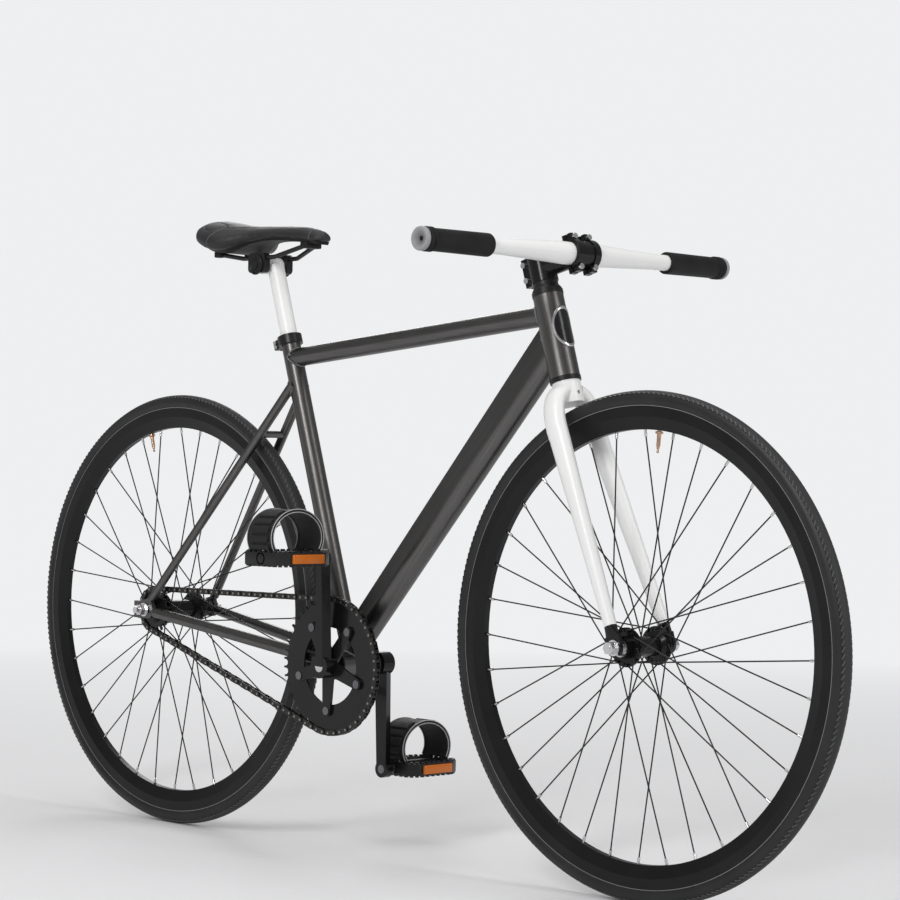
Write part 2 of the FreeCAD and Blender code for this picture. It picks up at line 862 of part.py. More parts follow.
# The tips' plates lie just outside the hub's locknuts
tip_middle = (s.front_width + s.tip_plate) / 2
blade_tip = on_head(s.blade_tip_above, s.fork_rake, -tip_middle)
blade_top = on_head(crown_top - s.blade_top_drop, 0, -s.blade_spread)
blade_way = (blade_tip - blade_top).normalize()


# The share of the blade's length where the shoulder has become straight
BLADE_JOIN = 0.08


def blade_solid():
    """A shoulder that bends out of the crown and runs into a straight tapered blade."""
    length = (blade_tip - blade_top).Length

    def on_blade(share, inset=0.0):
        deep = s.blade_deep + (s.blade_tip_radius - s.blade_deep) * share - inset
        wide = s.blade_wide + (s.blade_tip_radius - s.blade_wide) * share - inset
        return oval(blade_top + blade_way * (length * share), blade_way, deep, wide)

    root = on_head(crown_top - s.shoulder_drop, 0, -s.shoulder_spread)
    reach = s.blade_spread - s.shoulder_spread
    bend = on_head(crown_top - s.shoulder_drop - (s.blade_top_drop - s.shoulder_drop) * 0.3, 0,
                   -s.shoulder_spread - reach * 0.7)
    shoulder = Part.makeLoft([
        oval(root, -ACROSS - along * 0.25, s.blade_deep, s.blade_wide),
        oval(bend, -ACROSS * 0.75 - along, s.blade_deep, s.blade_wide),
        on_blade(0.0),
        on_blade(BLADE_JOIN),
    ], True, False)
    straight = Part.makeLoft([on_blade(BLADE_JOIN), on_blade(1.0)], True, True)
    hollow = Part.makeLoft([on_blade(BLADE_JOIN, s.blade_wall), on_blade(1.0, s.blade_wall)], True, True)
    return shoulder.fuse(straight).cut(hollow)


blade_outer = feature("blade_outer", blade_solid())
node("fork_blades", pair("fork_blades", cut("blade_right", blade_outer, crown_outer)))


def fork_tip():
    """A plug under the blade and a slotted plate around the axle."""
    centre = front_axle - aside(s.front_width / 2)
    plate_way = -aside(s.tip_plate)
    plug_end = centre + plate_way * 0.5 + scaled(along, s.blade_tip_above * 0.45)
    plug = Part.makeLoft([
        oval(blade_tip, blade_way, s.blade_tip_radius, s.blade_tip_radius),
        oval(plug_end, -along, s.tip_radius, s.tip_plate / 2),
    ], True, True)
    disc = cylinder(s.tip_radius, centre, centre + plate_way)
    neck = Part.makeBox(float(s.tip_radius) * 2, float(s.tip_plate), float(s.blade_tip_above * 0.55))
    neck.Placement = aim(centre, along) * Placement(Vector(-s.tip_radius, -s.tip_plate, 0), Rotation())
    slot_half = float(s.front_axle_radius + s.end_slot_gap)
    slot = Part.makeBox(slot_half * 2, float(s.tip_plate), float(s.tip_radius) * 2)
    slot.Placement = aim(centre, -along) * Placement(Vector(-slot_half, -s.tip_plate, 0), Rotation())
    mouth = cylinder(slot_half, centre, centre + plate_way)
    return disc.fuse([neck, plug]).cut([slot, mouth])


node("fork_tips", pair("fork_tips", feature("tip_right", fork_tip())))

cover_place = aim(on_head(cover_low), along)
spacer_bore = s.steerer_radius + s.press_gap
cover = turned("headset_cover", [
    (spacer_bore, 0),
    (s.cover_radius, 0),
    (s.cover_radius, s.cover_height / 4),
    (s.spacer_radius, s.cover_height),
    (spacer_bore, s.cover_height),
], cover_place)
spacer_place = aim(on_head(spacer_low), along)
spacer = ring("headset_spacer", spacer_bore, s.spacer_radius, 0, s.spacer_height, spacer_place)
node("headset_spacers", group("headset_spacers", cover, spacer))

# Stem
stem_middle = (stem_low + stem_high) / 2
bar_height = stem_middle - s.stem_drop
bar_centre = on_head(bar_height, s.stem_reach)
clamp_width_half = s.stem_clamp_width / 2
bar_bore_radius = s.bar_middle_radius + s.running_gap


def stem_shapes():
    """The stem with its rear half clamp, the faceplate and the six bolts."""
    half_width = float(clamp_width_half)
    frame = aim(bar_centre, along)

    def at(forward, side, height):
        return frame.multVec(Vector(forward, side, height))

    def slab(low, high):
        size = [float(b) - float(a) for a, b in zip(low, high)]
        shape = Part.makeBox(*size)
        shape.Placement = frame * Placement(Vector(*[float(v) for v in low]), Rotation())
        return shape

    clamp = cylinder(s.stem_clamp_radius, at(0, -half_width, 0), at(0, half_width, 0))
    bar_hole = cylinder(bar_bore_radius, at(0, -half_width, 0), at(0, half_width, 0))
    gap = float(s.stem_split) / 2
    reach = float(s.stem_ear_reach)
    out, ear = float(s.stem_bolt_out), float(s.stem_ear_half)
    wide = float(s.stem_clamp_radius) * 2
    rear_ears, front_ears, bolt_holes, head_pockets, bolts = [], [], [], [], []
    for height in (-out, out):
        for side in (-float(s.stem_bolt_aside), float(s.stem_bolt_aside)):
            near = min(abs(height) - ear * 2, abs(height))
            low_z, high_z = sorted((math.copysign(near, height), math.copysign(out + ear, height)))
            rear_ears.append(slab((-reach, side - ear, low_z), (-gap, side + ear, high_z)))
            front_ears.append(slab((gap, side - ear, low_z), (reach, side + ear, high_z)))
            start, end = at(-reach, side, height), at(reach, side, height)
            bolt_holes.append(cylinder(s.stem_bolt_radius + s.running_gap, start, end))
            head_end = at(reach + float(s.stem_bolt_head_high), side, height)
            shank = cylinder(s.stem_bolt_radius, start, end)
            head_pockets.append(cylinder(s.stem_bolt_head + s.soft_gap, end, at(wide, side, height)))
            bolts.append(shank.fuse(cylinder(s.stem_bolt_head, end, head_end)))
    front_half = slab((gap, -half_width, -wide), (wide, half_width, wide))
    rear_half = slab((-wide, -half_width, -wide), (-gap, half_width, wide))
    band_gap = half_width - float(s.stem_band_width)
    waist = cylinder(s.stem_clamp_radius + s.stem_band_rise, at(0, -band_gap, 0), at(0, band_gap, 0))
    waist_radius = s.stem_clamp_radius - s.stem_band_rise
    waist = waist.cut(cylinder(waist_radius, at(0, -band_gap, 0), at(0, band_gap, 0)))
    faceplate = clamp.common(front_half).cut(waist).fuse(front_ears)
    faceplate = faceplate.cut([bar_hole] + bolt_holes + head_pockets)

    steerer_clamp = cylinder(s.stem_radius, on_head(stem_low), on_head(stem_high))
    arm = cylinder(s.stem_arm_radius, on_head(stem_middle), bar_centre)
    pinch_back = float(s.pinch_bolt_behind)
    pinch_half = float(s.pinch_ear_half)
    stem_frame = aim(on_head(stem_low), along)
    pinch_reach = pinch_back + float(s.stem_ear_half)
    pinch_ear = Part.makeBox(pinch_reach, pinch_half * 2, float(s.stem_height))
    pinch_ear.Placement = stem_frame * Placement(Vector(-pinch_reach, -pinch_half, 0), Rotation())
    pinch_gap = Part.makeBox(pinch_reach, float(s.stem_split), float(s.stem_height))
    pinch_gap.Placement = stem_frame * Placement(Vector(-pinch_reach, -s.stem_split / 2, 0), Rotation())
    for height in (stem_middle - s.pinch_bolt_apart / 2, stem_middle + s.pinch_bolt_apart / 2):
        start = on_head(height, -pinch_back, pinch_half)
        end = on_head(height, -pinch_back, -pinch_half)
        bolt_holes.append(cylinder(s.stem_bolt_radius + s.running_gap, start, end))
        head_end = on_head(height, -pinch_back, -pinch_half - float(s.stem_bolt_head_high))
        shank = cylinder(s.stem_bolt_radius, start, end)
        bolts.append(shank.fuse(cylinder(s.stem_bolt_head, end, head_end)))
    steerer_hole = cylinder(s.steerer_radius + s.press_gap, on_head(stem_low), on_head(stem_high))
    solid = steerer_clamp.fuse([arm, clamp.common(rear_half), pinch_ear] + rear_ears)
    front_cut = slab((-gap, -half_width, -wide), (wide, half_width, wide))
    solid = solid.cut([front_cut, bar_hole, steerer_hole, pinch_gap] + bolt_holes)
    return solid, faceplate, Part.makeCompound(bolts)


stem_solid, faceplate_solid, bolt_solids = stem_shapes()
node("stem", feature("stem", stem_solid))
node("stem_faceplate", feature("stem_faceplate", faceplate_solid))
node("stem_bolts", feature("stem_bolts", bolt_solids))


def top_cap_shapes():
    """The cap on the stem, and its bolt down to a star nut inside the steerer."""
    base = on_head(stem_high)
    top = on_head(stem_high + s.top_cap_height)
    bolt_radius = s.stem_bolt_radius
    cap = cylinder(s.top_cap_radius, base, top)
    top_edges = [edge for edge in cap.Edges if edge.CenterOfMass.isEqual(top, 0.01)]
    cap = cap.makeFillet(float(s.top_cap_height) * 0.4, top_edges)
    cap = cap.cut(cylinder(bolt_radius + s.running_gap, base, top))
    nut_low = on_head(stem_high - s.stem_height)
    nut_high = on_head(stem_high - s.stem_height + s.top_cap_height)
    nut = cylinder(s.steerer_radius - s.steerer_wall - s.press_gap, nut_low, nut_high)
    bolt = cylinder(bolt_radius, nut_low, top)
    head = cylinder(s.stem_bolt_head, top, on_head(stem_high + s.top_cap_height + s.stem_bolt_radius))
    return Part.makeCompound([cap, bolt.fuse([nut, head])])


node("top_cap", feature("top_cap", top_cap_shapes()))

node("front_axle", axle_set(
    "front_axle", front_axle, s.front_axle_radius, s.front_axle_half, s.front_width / 2,
    s.front_width / 2 + s.tip_plate, front_hub_half + s.soft_gap,
))

# Handlebar, grips and end plugs
bar_place = aim(bar_centre, ACROSS)
node("handlebar", turned("handlebar", [
    (s.bar_bore, -s.bar_half_length),
    (s.bar_end_radius, -s.bar_half_length),
    (s.bar_end_radius, -s.bar_taper_end),
    (s.bar_middle_radius, -s.bar_bulge_half),
    (s.bar_middle_radius, s.bar_bulge_half),
    (s.bar_end_radius, s.bar_taper_end),
    (s.bar_end_radius, s.bar_half_length),
    (s.bar_bore, s.bar_half_length),
], bar_place))
grip_bore = s.bar_end_radius + s.press_gap
grip_start = s.bar_half_length - s.grip_length
grip_left = turned("grip_left", [
    (grip_bore, grip_start),
    (s.grip_radius, grip_start),
    (s.grip_radius, s.bar_half_length - s.grip_collar_width * 3),
    (s.grip_collar_radius, s.bar_half_length - s.grip_collar_width * 3),
    (s.grip_collar_radius, s.bar_half_length - s.grip_collar_width * 2),
    (s.grip_radius, s.bar_half_length - s.grip_collar_width * 2),
    (s.grip_radius, s.bar_half_length),
    (grip_bore, s.bar_half_length),
], bar_place)
node("grips", pair("grips", grip_left))
plug_end = s.bar_half_length + s.plug_thick
plug_left = turned("plug_left", [
    (0, s.bar_half_length - s.plug_depth),
    (s.bar_bore - s.press_gap, s.bar_half_length - s.plug_depth),
    (s.bar_bore - s.press_gap, s.bar_half_length),
    (s.plug_radius, s.bar_half_length),
    (s.plug_radius, plug_end - s.plug_thick / 3),
    (s.plug_radius - s.plug_thick / 3, plug_end),
    (s.plug_dimple, plug_end),
    (s.plug_dimple, plug_end - s.plug_thick / 2),
    (0, plug_end - s.plug_thick / 2),
], bar_place)
node("bar_end_plugs", pair("bar_end_plugs", plug_left))


# Wheels
rim_outer = s.rim_bead_radius + s.rim_flange_height
tyre_round = s.tyre_width / 2
spoke_pairs = int(round(float(s.spoke_pairs)))
spoke_step = TURN / spoke_pairs
# The share of the tyre's hollow that the inner tube's round section takes up
TUBE_FILL = 0.78


def section(points):
    """A face in the plane of a wheel's axis from (radius, across) corners and arcs."""
    edges = []
    for start, middle, end in points:
        if middle is None:
            edges.append(Part.makeLine(start, end))
        else:
            edges.append(Part.Arc(start, middle, end).toShape())
    return Part.Face(Part.Wire(edges))


def tyre_solid():
    """A round casing that narrows into two beads inside the rim's flanges."""
    outer, wall = float(wheel_radius), float(s.tyre_wall)
    round_radius = float(tyre_round)
    centre = outer - round_radius
    bead = float(s.rim_half_width - s.rim_wall - s.soft_gap)
    bead_low = float(s.rim_bead_radius + s.soft_gap)
    clear = float(rim_outer + s.soft_gap)

    def on_round(radius, height):
        return Vector(height, math.sqrt(radius**2 - (height - centre) ** 2), 0)

    def left(point):
        return Vector(point.x, -point.y, 0)

    shoulder = on_round(round_radius, clear + wall * 0.2)
    widest = Vector(centre, round_radius, 0)
    crown = Vector(outer, 0, 0)
    inside = round_radius - wall
    inner_low = on_round(inside, clear + wall * 1.5)
    inner_knee = Vector(clear + wall / 2, bead - wall, 0)
    inner_wide = Vector(centre, inside, 0)
    inner_crown = Vector(centre + inside, 0, 0)
    bead_out, bead_top = Vector(bead_low, bead, 0), Vector(clear, bead, 0)
    bead_in = Vector(bead_low, bead - wall, 0)

    def arc_point(radius, start, end):
        middle = (start + end) * 0.5 - Vector(centre, 0, 0)
        return Vector(centre, 0, 0) + middle.normalize() * radius

    right = [
        (bead_in, None, bead_out),
        (bead_out, None, bead_top),
        (bead_top, None, shoulder),
        (shoulder, arc_point(round_radius, shoulder, widest), widest),
        (widest, arc_point(round_radius, widest, crown), crown),
    ]
    back = [
        (inner_crown, arc_point(inside, inner_crown, inner_wide), inner_wide),
        (inner_wide, arc_point(inside, inner_wide, inner_low), inner_low),
        (inner_low, None, inner_knee),
        (inner_knee, None, bead_in),
    ]

    def across(edges):
        return [
            (left(end), left(middle) if middle else None, left(start))
            for start, middle, end in reversed(edges)
        ]

    face = section(right + across(right) + across(back) + back)
    return face.revolve(Vector(), ACROSS, 360)


def inner_tube_solids(angle):
    """A soft ring inside the tyre, and the valve that comes out through the rim."""
    outer = float((tyre_round - s.tyre_wall) * TUBE_FILL)
    centre = float(wheel_radius - s.tyre_wall - s.soft_gap) - outer
    soft_ring = Part.makeTorus(centre, outer, Vector(), ACROSS)
    soft_ring = soft_ring.cut(Part.makeTorus(centre, outer - float(s.tube_wall), Vector(), ACROSS))
    foot = polar(centre - outer - float(s.soft_gap), angle)
    tip = polar(s.rim_inner_radius - s.valve_out, angle)
    neck = polar(s.rim_inner_radius - s.valve_out * 0.72, angle)
    valve = cylinder(s.valve_radius, neck, foot).fuse(cylinder(s.valve_radius * 0.75, tip, neck))
    return Part.makeCompound([soft_ring, valve])


def spoke_kinds(flange_half):
    """The four kinds of spoke: its start at the hub, its place in the rim, its flange and its head's side."""
    kinds = []
    for side in (-1, 1):
        for lean in (-1, 1):
            hub_angle = spoke_step * ((side + 1) / 8 + (lean + 1) / 4)
            rim_angle = hub_angle + lean * spoke_step / 2 * int(round(float(s.spoke_crosses)))
            stand_off = s.spoke_bow if side == lean else s.soft_gap
            run_offset = float(s.flange_thick / 2 + s.spoke_radius + stand_off) * lean
            flange = side * float(flange_half)
            start = polar(s.flange_hole_circle, hub_angle, flange + run_offset)
            kinds.append((start, polar(s.rim_inner_radius, rim_angle), flange, -lean))
    return kinds


def all_round(shapes):
    """Copies of each shape at every pair's place around the wheel."""
    copies = []
    for shape in shapes:
        for index in range(spoke_pairs):
            copy = shape.copy()
            copy.rotate(Vector(), ACROSS, -math.degrees(spoke_step * index))
            copies.append(copy)
    return Part.makeCompound(copies)


def spoke(start, end, flange, head_side):
    """A straight wire with an elbow and a flat head through the hub's flange."""
    way = (end - start).normalize()
    run = cylinder(s.spoke_radius, start, end + scaled(way, s.rim_wall * 2))
    head_face = flange + head_side * float(s.flange_thick / 2 + s.soft_gap)
    elbow_end = Vector(start.x, head_face, start.z)
    head_end = elbow_end + aside(head_side * float(s.spoke_radius))
    elbow = cylinder(s.spoke_radius, start, head_end)
    corner = Part.makeSphere(float(s.spoke_radius), start)
    head = cylinder(s.spoke_radius * 2, elbow_end, head_end)
    return run.fuse([elbow, corner, head])


def nipple(start, end):
    """A threaded sleeve whose head sits inside the rim."""
    way = (end - start).normalize()
    seat = end + scaled(way, s.rim_wall * 3)
    low = seat - scaled(way, s.nipple_length)
    high = seat + scaled(way, s.nipple_radius)
    bore = cylinder(s.spoke_radius + s.slide_gap, low, high)
    body = cylinder(s.nipple_radius, low, seat).fuse(cylinder(s.nipple_head, seat, high))
    return body.cut(bore)


def rim_holes(kinds, valve_angle):
    holes = []
    for start, end, _, _ in kinds:
        way = scaled((end - start).normalize(), s.rim_wall * 4)
        holes.append(cylinder(s.nipple_radius + s.nipple_hole_gap, end - way, end + way))
    inside = polar(s.rim_inner_radius - s.valve_out, valve_angle)
    outside = polar(rim_outer, valve_angle)
    valve_hole = cylinder(s.valve_radius + s.soft_gap, inside, outside)
    return Part.makeCompound([all_round(holes), valve_hole])


def rim(name, place, holes):
    inner, wall, half = s.rim_inner_radius, s.rim_wall, s.rim_half_width
    shoulder = rim_outer - s.rim_side_height
    bed = s.rim_bead_radius - wall * 1.6
    floor = bed - wall
    body = turned(name + "_profile", [
        (inner, -s.rim_tip_half),
        (shoulder, -half),
        (rim_outer, -half),
        (rim_outer, wall - half),
        (s.rim_bead_radius, wall - half),
        (bed, wall * 3 - half),
        (bed, half - wall * 3),
        (s.rim_bead_radius, half - wall),
        (rim_outer, half - wall),
        (rim_outer, half),
        (shoulder, half),
        (inner, s.rim_tip_half),
    ], place, hollow=[
        (inner + wall * 1.4, s.rim_tip_half - wall),
        (inner + wall * 1.4, wall - s.rim_tip_half),
        (shoulder + wall / 2, wall - half),
        (floor, wall - half),
        (floor, half - wall),
        (shoulder + wall / 2, half - wall),
    ])
    tool = feature(name + "_holes", holes)
    return cut(name, body, tool)


def hub(name, centre, flange_half, hub_half, right_boss):
    """A hub shell with two drilled flanges; the right boss carries a cog where there is one."""
    thick, barrel = s.flange_thick / 2, s.hub_barrel_radius
    flange_root = s.flange_hole_circle - s.spoke_radius * 3
    seat, bore = s.hub_bearing_radius + s.press_gap, s.rear_axle_radius * 1.6
    body = turned(name + "_shell", [
        (seat, -hub_half),
        (right_boss, -hub_half),
        (right_boss, -flange_half - thick),
        (s.flange_radius, -flange_half - thick),
        (s.flange_radius, thick - flange_half),
        (flange_root, thick - flange_half),
        (barrel, thick * 3 - flange_half),
        (barrel, flange_half - thick * 3),
        (flange_root, flange_half - thick),
        (s.flange_radius, flange_half - thick),
        (s.flange_radius, flange_half + thick),
        (s.hub_end_radius, flange_half + thick),
        (s.hub_end_radius, hub_half),
        (seat, hub_half),
        (seat, hub_half - s.hub_bearing_width),
        (bore, hub_half - s.hub_bearing_width),
        (bore, s.hub_bearing_width - hub_half),
        (seat, s.hub_bearing_width - hub_half),
    ], aim(centre, ACROSS))
    holes = []
    for start, _, flange, _ in spoke_kinds(flange_half):
        near = Vector(start.x, flange - float(thick), start.z)
        far = Vector(start.x, flange + float(thick), start.z)
        holes.append(cylinder(s.spoke_radius + s.spoke_hole_gap, near, far))
    return cut(name, body, feature(name + "_holes", moved(all_round(holes), centre)))


def wheel(prefix, centre, flange_half, hub_half, axle_radius, valve_angle, right_boss):
    kinds = spoke_kinds(flange_half)
    angle = math.radians(valve_angle)
    place = aim(centre, ACROSS)

    def at_axle(name, shape):
        return node(name, feature(name, moved(shape, centre)))

    at_axle(prefix + "_tyre", tyre_solid())
    at_axle(prefix + "_inner_tube", inner_tube_solids(angle))
    at_axle(prefix + "_spokes", all_round([spoke(*kind) for kind in kinds]))
    at_axle(prefix + "_nipples", all_round([nipple(start, end) for start, end, _, _ in kinds]))
    node(prefix + "_rim", rim(prefix + "_rim", place, moved(rim_holes(kinds, angle), centre)))
    node(prefix + "_hub", hub(prefix + "_hub", centre, flange_half, hub_half, right_boss))
    bore = axle_radius + s.running_gap
    bearing_in = hub_half - s.hub_bearing_width
    node(prefix + "_hub_bearings", group(
        prefix + "_hub_bearings",
        ring(prefix + "_bearing_left", bore, s.hub_bearing_radius, bearing_in, hub_half, place),
        ring(prefix + "_bearing_right", bore, s.hub_bearing_radius, -hub_half, -bearing_in, place),
    ))


wheel("front", front_axle, s.front_flange_half, front_hub_half, s.front_axle_radius, s.front_valve_angle,
      s.hub_end_radius)
wheel("rear", rear_axle, s.rear_flange_half, rear_hub_half, s.rear_axle_radius, s.rear_valve_angle,
      s.cog_bore)

# Chain: a loop of two runs and two arcs in the side view
to_rear = (rear_axle - bracket).normalize()
upward = Vector(to_rear.z, 0, -to_rear.x)
loop_lean = math.asin(path_step / centres)
touch_high = to_rear * math.sin(loop_lean) + upward * math.cos(loop_lean)
touch_low = to_rear * math.sin(loop_lean) - upward * math.cos(loop_lean)
run_length = chain_run(centres)
cog_arc = float(cog_path) * (math.pi - 2 * loop_lean)


def side_angle(way):
    """The angle of a direction in the side view, counted from forward to up."""
    return math.atan2(way.z, way.x)


def chain_point(distance):
    """A roller's place at a distance along the chain from the top of the ring, rearwards."""
    high_start = bracket + scaled(touch_high, ring_path)
    if distance < run_length:
        return high_start + (rear_axle + scaled(touch_high, cog_path) - high_start) * (distance / run_length)
    distance -= run_length
    if distance < cog_arc:
        return rear_axle + polar(cog_path, side_angle(touch_high) + distance / float(cog_path))
    distance -= cog_arc
    low_start = rear_axle + scaled(touch_low, cog_path)
    if distance < run_length:
        return low_start + (bracket + scaled(touch_low, ring_path) - low_start) * (distance / run_length)
    distance -= run_length
    return bracket + polar(ring_path, side_angle(touch_low) + distance / float(ring_path))


def link_plate(inside):
    """Two side plates of a link, along local x, at a distance from its middle plane."""
    half = float(s.chain_pitch) / 2
    radius, thick = float(s.plate_radius), float(s.plate_thick)
    plates = []
    for low in (float(inside), -float(inside) - thick):
        ends = [Part.makeCylinder(radius, thick, Vector(x, low, 0), ACROSS) for x in (-half, half)]
        bar = Part.makeBox(half * 2, thick, radius * 2, Vector(-half, low, -radius))
        plates.append(bar.fuse(ends).removeSplitter())
    return plates


def outer_link():
    half, reach = float(s.chain_pitch) / 2, aside(s.pin_half)
    pins = [cylinder(s.pin_radius, Vector(x, 0, 0) - reach, Vector(x, 0, 0) + reach) for x in (-half, half)]
    plates = link_plate(s.outer_plate_in)
    return plates[0].fuse(plates[1:] + pins)


def inner_link():
    half, reach = float(s.chain_pitch) / 2, aside(s.inner_plate_in)
    ends = [Vector(-half, 0, 0), Vector(half, 0, 0)]
    rollers = [cylinder(s.roller_radius, end - reach, end + reach) for end in ends]
    bores = [cylinder(s.pin_radius + s.pin_gap, end - reach * 2, end + reach * 2) for end in ends]
    plates = link_plate(s.inner_plate_in)
    return plates[0].fuse(plates[1:] + rollers).cut(bores)


def chain_solids():
    count = int(round(float(s.chain_links)))
    pitch = loop / count
    kinds = (outer_link(), inner_link())
    links = []
    for index in range(count):
        start = chain_point(index * pitch)
        end = chain_point((index + 1) % count * pitch)
        link = kinds[index % 2].copy()
        turn = Rotation(ACROSS, -math.degrees(side_angle(end - start)))
        link.Placement = Placement((start + end) * 0.5 - aside(s.chain_line), turn)
        links.append(link)
    return Part.makeCompound(links)


node("chain", feature("chain", chain_solids()))


def sprocket(name, teeth, path, bore, centre, phase):
    """A toothed plate with one seat for each roller of the chain."""
    tip = path + s.tooth_height
    body = doc.addObject("PartDesign::Body", name)
    disc = body.newObject("Sketcher::SketchObject", name + "_disc")
    plane = next(item for item in body.Origin.OriginFeatures if item.Role == "XY_Plane")
    disc.AttachmentSupport = [(plane, "")]
    disc.MapMode = "FlatFace"
    add_circle(disc, 0.0, tip)
    add_circle(disc, 0.0, bore)
    pad = body.newObject("PartDesign::Pad", name + "_pad")
    pad.Profile = disc
    pad.Midplane = True
    bind(pad, Length=s.tooth_thick)
    seat = body.newObject("Sketcher::SketchObject", name + "_seat")
    seat.AttachmentSupport = [(plane, "")]
    seat.MapMode = "FlatFace"
    add_seat(seat, path, s.roller_radius + s.roller_gap, tip + s.tooth_flare * 2)
    pocket = body.newObject("PartDesign::Pocket", name + "_pocket")
    pocket.Profile = seat
    pocket.Type = "ThroughAll"
    pocket.Midplane = True
    pattern = body.newObject("PartDesign::PolarPattern", name + "_teeth")
    pattern.Originals = [pocket]
    pattern.Axis = (seat, ["N_Axis"])
    pattern.Angle = 360
    pattern.Occurrences = int(round(float(teeth)))
    pattern.setExpression("Occurrences", teeth.text)
    body.Tip = pattern
    body.Placement = facing_right(centre - aside(s.chain_line), math.degrees(phase))
    return body


def add_circle(sketch, out, radius):
    """A circle whose middle lies on the sketch's x axis."""
    index = sketch.addGeometry(Part.Circle(Vector(float(out), 0, 0), UP, float(radius)), False)
    pin_point(sketch, index, 3, "X", out)
    pin_point(sketch, index, 3, "Y", 0.0)
    limit = sketch.addConstraint(Sketcher.Constraint("Radius", index, float(radius)))
    sketch.setExpression(f"Constraints[{limit}]", radius.text)


def add_seat(sketch, path, radius, open_end):
    """A roller's seat: half a circle that faces the middle, with sides that open outwards."""
    middle = Part.Circle(Vector(float(path), 0, 0), UP, float(radius))
    sketch.addGeometry(Part.ArcOfCircle(middle, math.pi / 2, math.pi * 1.5), False)
    high, far = float(radius), float(open_end)
    wide = radius + s.tooth_flare
    corners = [
        Vector(float(path), high, 0),
        Vector(far, float(wide), 0),
        Vector(far, -float(wide), 0),
        Vector(float(path), -high, 0),
    ]
    for start, end in zip(corners, corners[1:]):
        sketch.addGeometry(Part.LineSegment(start, end), False)
    for first, second in (((0, 1), (1, 1)), ((1, 2), (2, 1)), ((2, 2), (3, 1)), ((3, 2), (0, 2))):
        sketch.addConstraint(Sketcher.Constraint("Coincident", *first, *second))
    pin_point(sketch, 0, 3, "X", path)
    pin_point(sketch, 0, 3, "Y", 0.0)
    pin_point(sketch, 1, 1, "X", path)
    pin_point(sketch, 1, 1, "Y", radius)
    pin_point(sketch, 3, 2, "X", path)
    pin_point(sketch, 2, 1, "X", open_end)
    pin_point(sketch, 2, 1, "Y", wide)
    pin_point(sketch, 2, 2, "X", open_end)
    pin_point(sketch, 2, 2, "Y", -wide)


# Cranks, turned so that the right pedal stands at the top
crank_turn = math.radians(s.crank_angle)
right_way = polar(1, crank_turn)
arm_in = s.chain_line + s.tooth_thick / 2
spider_bolts = [
    bracket
    + polar(s.ring_bolt_circle, crank_turn + TURN * (index + 0.5) / int(round(float(s.spider_arms))))
    for index in range(int(round(float(s.spider_arms))))
]

ring_body = sprocket("ring_body", s.ring_teeth, ring_path, s.ring_bore, bracket, side_angle(touch_high))
ring_bolt_hole = s.ring_bolt_radius + s.running_gap
ring_holes = feature("ring_holes", Part.makeCompound([
    cylinder(ring_bolt_hole, place - aside(arm_in), place - aside(arm_in - s.tooth_thick))
    for place in spider_bolts
]))
node("chainring", cut("chainring", ring_body, ring_holes))


def spider():
    """Five tapered arms that carry the chainring on their inner face."""
    arms = []
    for place in spider_bolts:
        way = (place - bracket).normalize()
        across = Vector(-way.z, 0, way.x)
        corners = [
            bracket + scaled(across, s.spider_root_half),
            place + scaled(across, s.spider_tip_half),
            place - scaled(across, s.spider_tip_half),
            bracket - scaled(across, s.spider_root_half),
        ]
        arm = Part.Face(Part.makePolygon(corners + corners[:1])).extrude(-aside(s.spider_thick))
        tip = cylinder(s.spider_tip_half, place, place - aside(s.spider_thick))
        arms.append(moved(arm.fuse(tip), -aside(arm_in)))
    return arms


def crank_arm(way, side, extra):
    """A tapered arm from the spindle to the pedal, on one side of the bicycle."""
    across = Vector(-way.z, 0, way.x)
    pedal = bracket + scaled(way, s.crank_length)

    def at(place, out):
        return place + aside(side * float(out))

    def frame(place, half, out):
        corners = [(half, 0.0), (half * 0.6, 1.0), (-half * 0.6, 1.0), (-half, 0.0)]
        points = [at(place, out - float(s.crank_arm_thick) * (1 - deep)) + scaled(across, wide)
                  for wide, deep in corners]
        return Part.makePolygon(points + points[:1])

    boss_out, end_out = float(s.crank_boss_out), float(s.crank_end_out)
    beam = Part.makeLoft([
        frame(bracket, float(s.crank_arm_half), boss_out),
        frame(pedal, float(s.crank_end_half), end_out),
    ], True, True)
    boss = cylinder(s.crank_boss_radius, at(bracket, arm_in), at(bracket, boss_out))
    end = cylinder(s.crank_end_radius, at(pedal, end_out - float(s.crank_arm_thick)), at(pedal, end_out))
    spindle_hole = cylinder(s.spindle_radius + s.press_gap, at(bracket, arm_in), at(bracket, s.spindle_half))
    bolt_hole = cylinder(s.crank_bolt_head + s.slide_gap, at(bracket, s.spindle_half), at(bracket, boss_out))
    pedal_hole = cylinder(s.pedal_spindle_radius + s.press_gap, at(pedal, 0), at(pedal, end_out))
    return beam.fuse([boss, end] + extra).cut([spindle_hole, bolt_hole, pedal_hole])


spider_holes = [
    cylinder(ring_bolt_hole, place - aside(arm_in), place - aside(arm_in + s.spider_thick))
    for place in spider_bolts
]
node("crank_arm_right", feature("crank_arm_right", crank_arm(right_way, -1, spider()).cut(spider_holes)))
node("crank_arm_left", feature("crank_arm_left", crank_arm(-right_way, 1, [])))


def ring_bolt(place):
    """A sleeve bolt through ring and spider, with a flat head on each face."""
    inner, outer = arm_in - s.tooth_thick, arm_in + s.spider_thick
    shank = cylinder(s.ring_bolt_radius, place - aside(inner), place - aside(outer))
    back = cylinder(s.ring_bolt_head, place - aside(inner - s.bracket_lip / 2), place - aside(inner))
    front = cylinder(s.ring_bolt_head, place - aside(outer), place - aside(outer + s.bracket_lip / 2))
    return shank.fuse([back, front])


ring_bolts = Part.makeCompound([ring_bolt(place) for place in spider_bolts])
node("chainring_bolts", feature("chainring_bolts", ring_bolts))


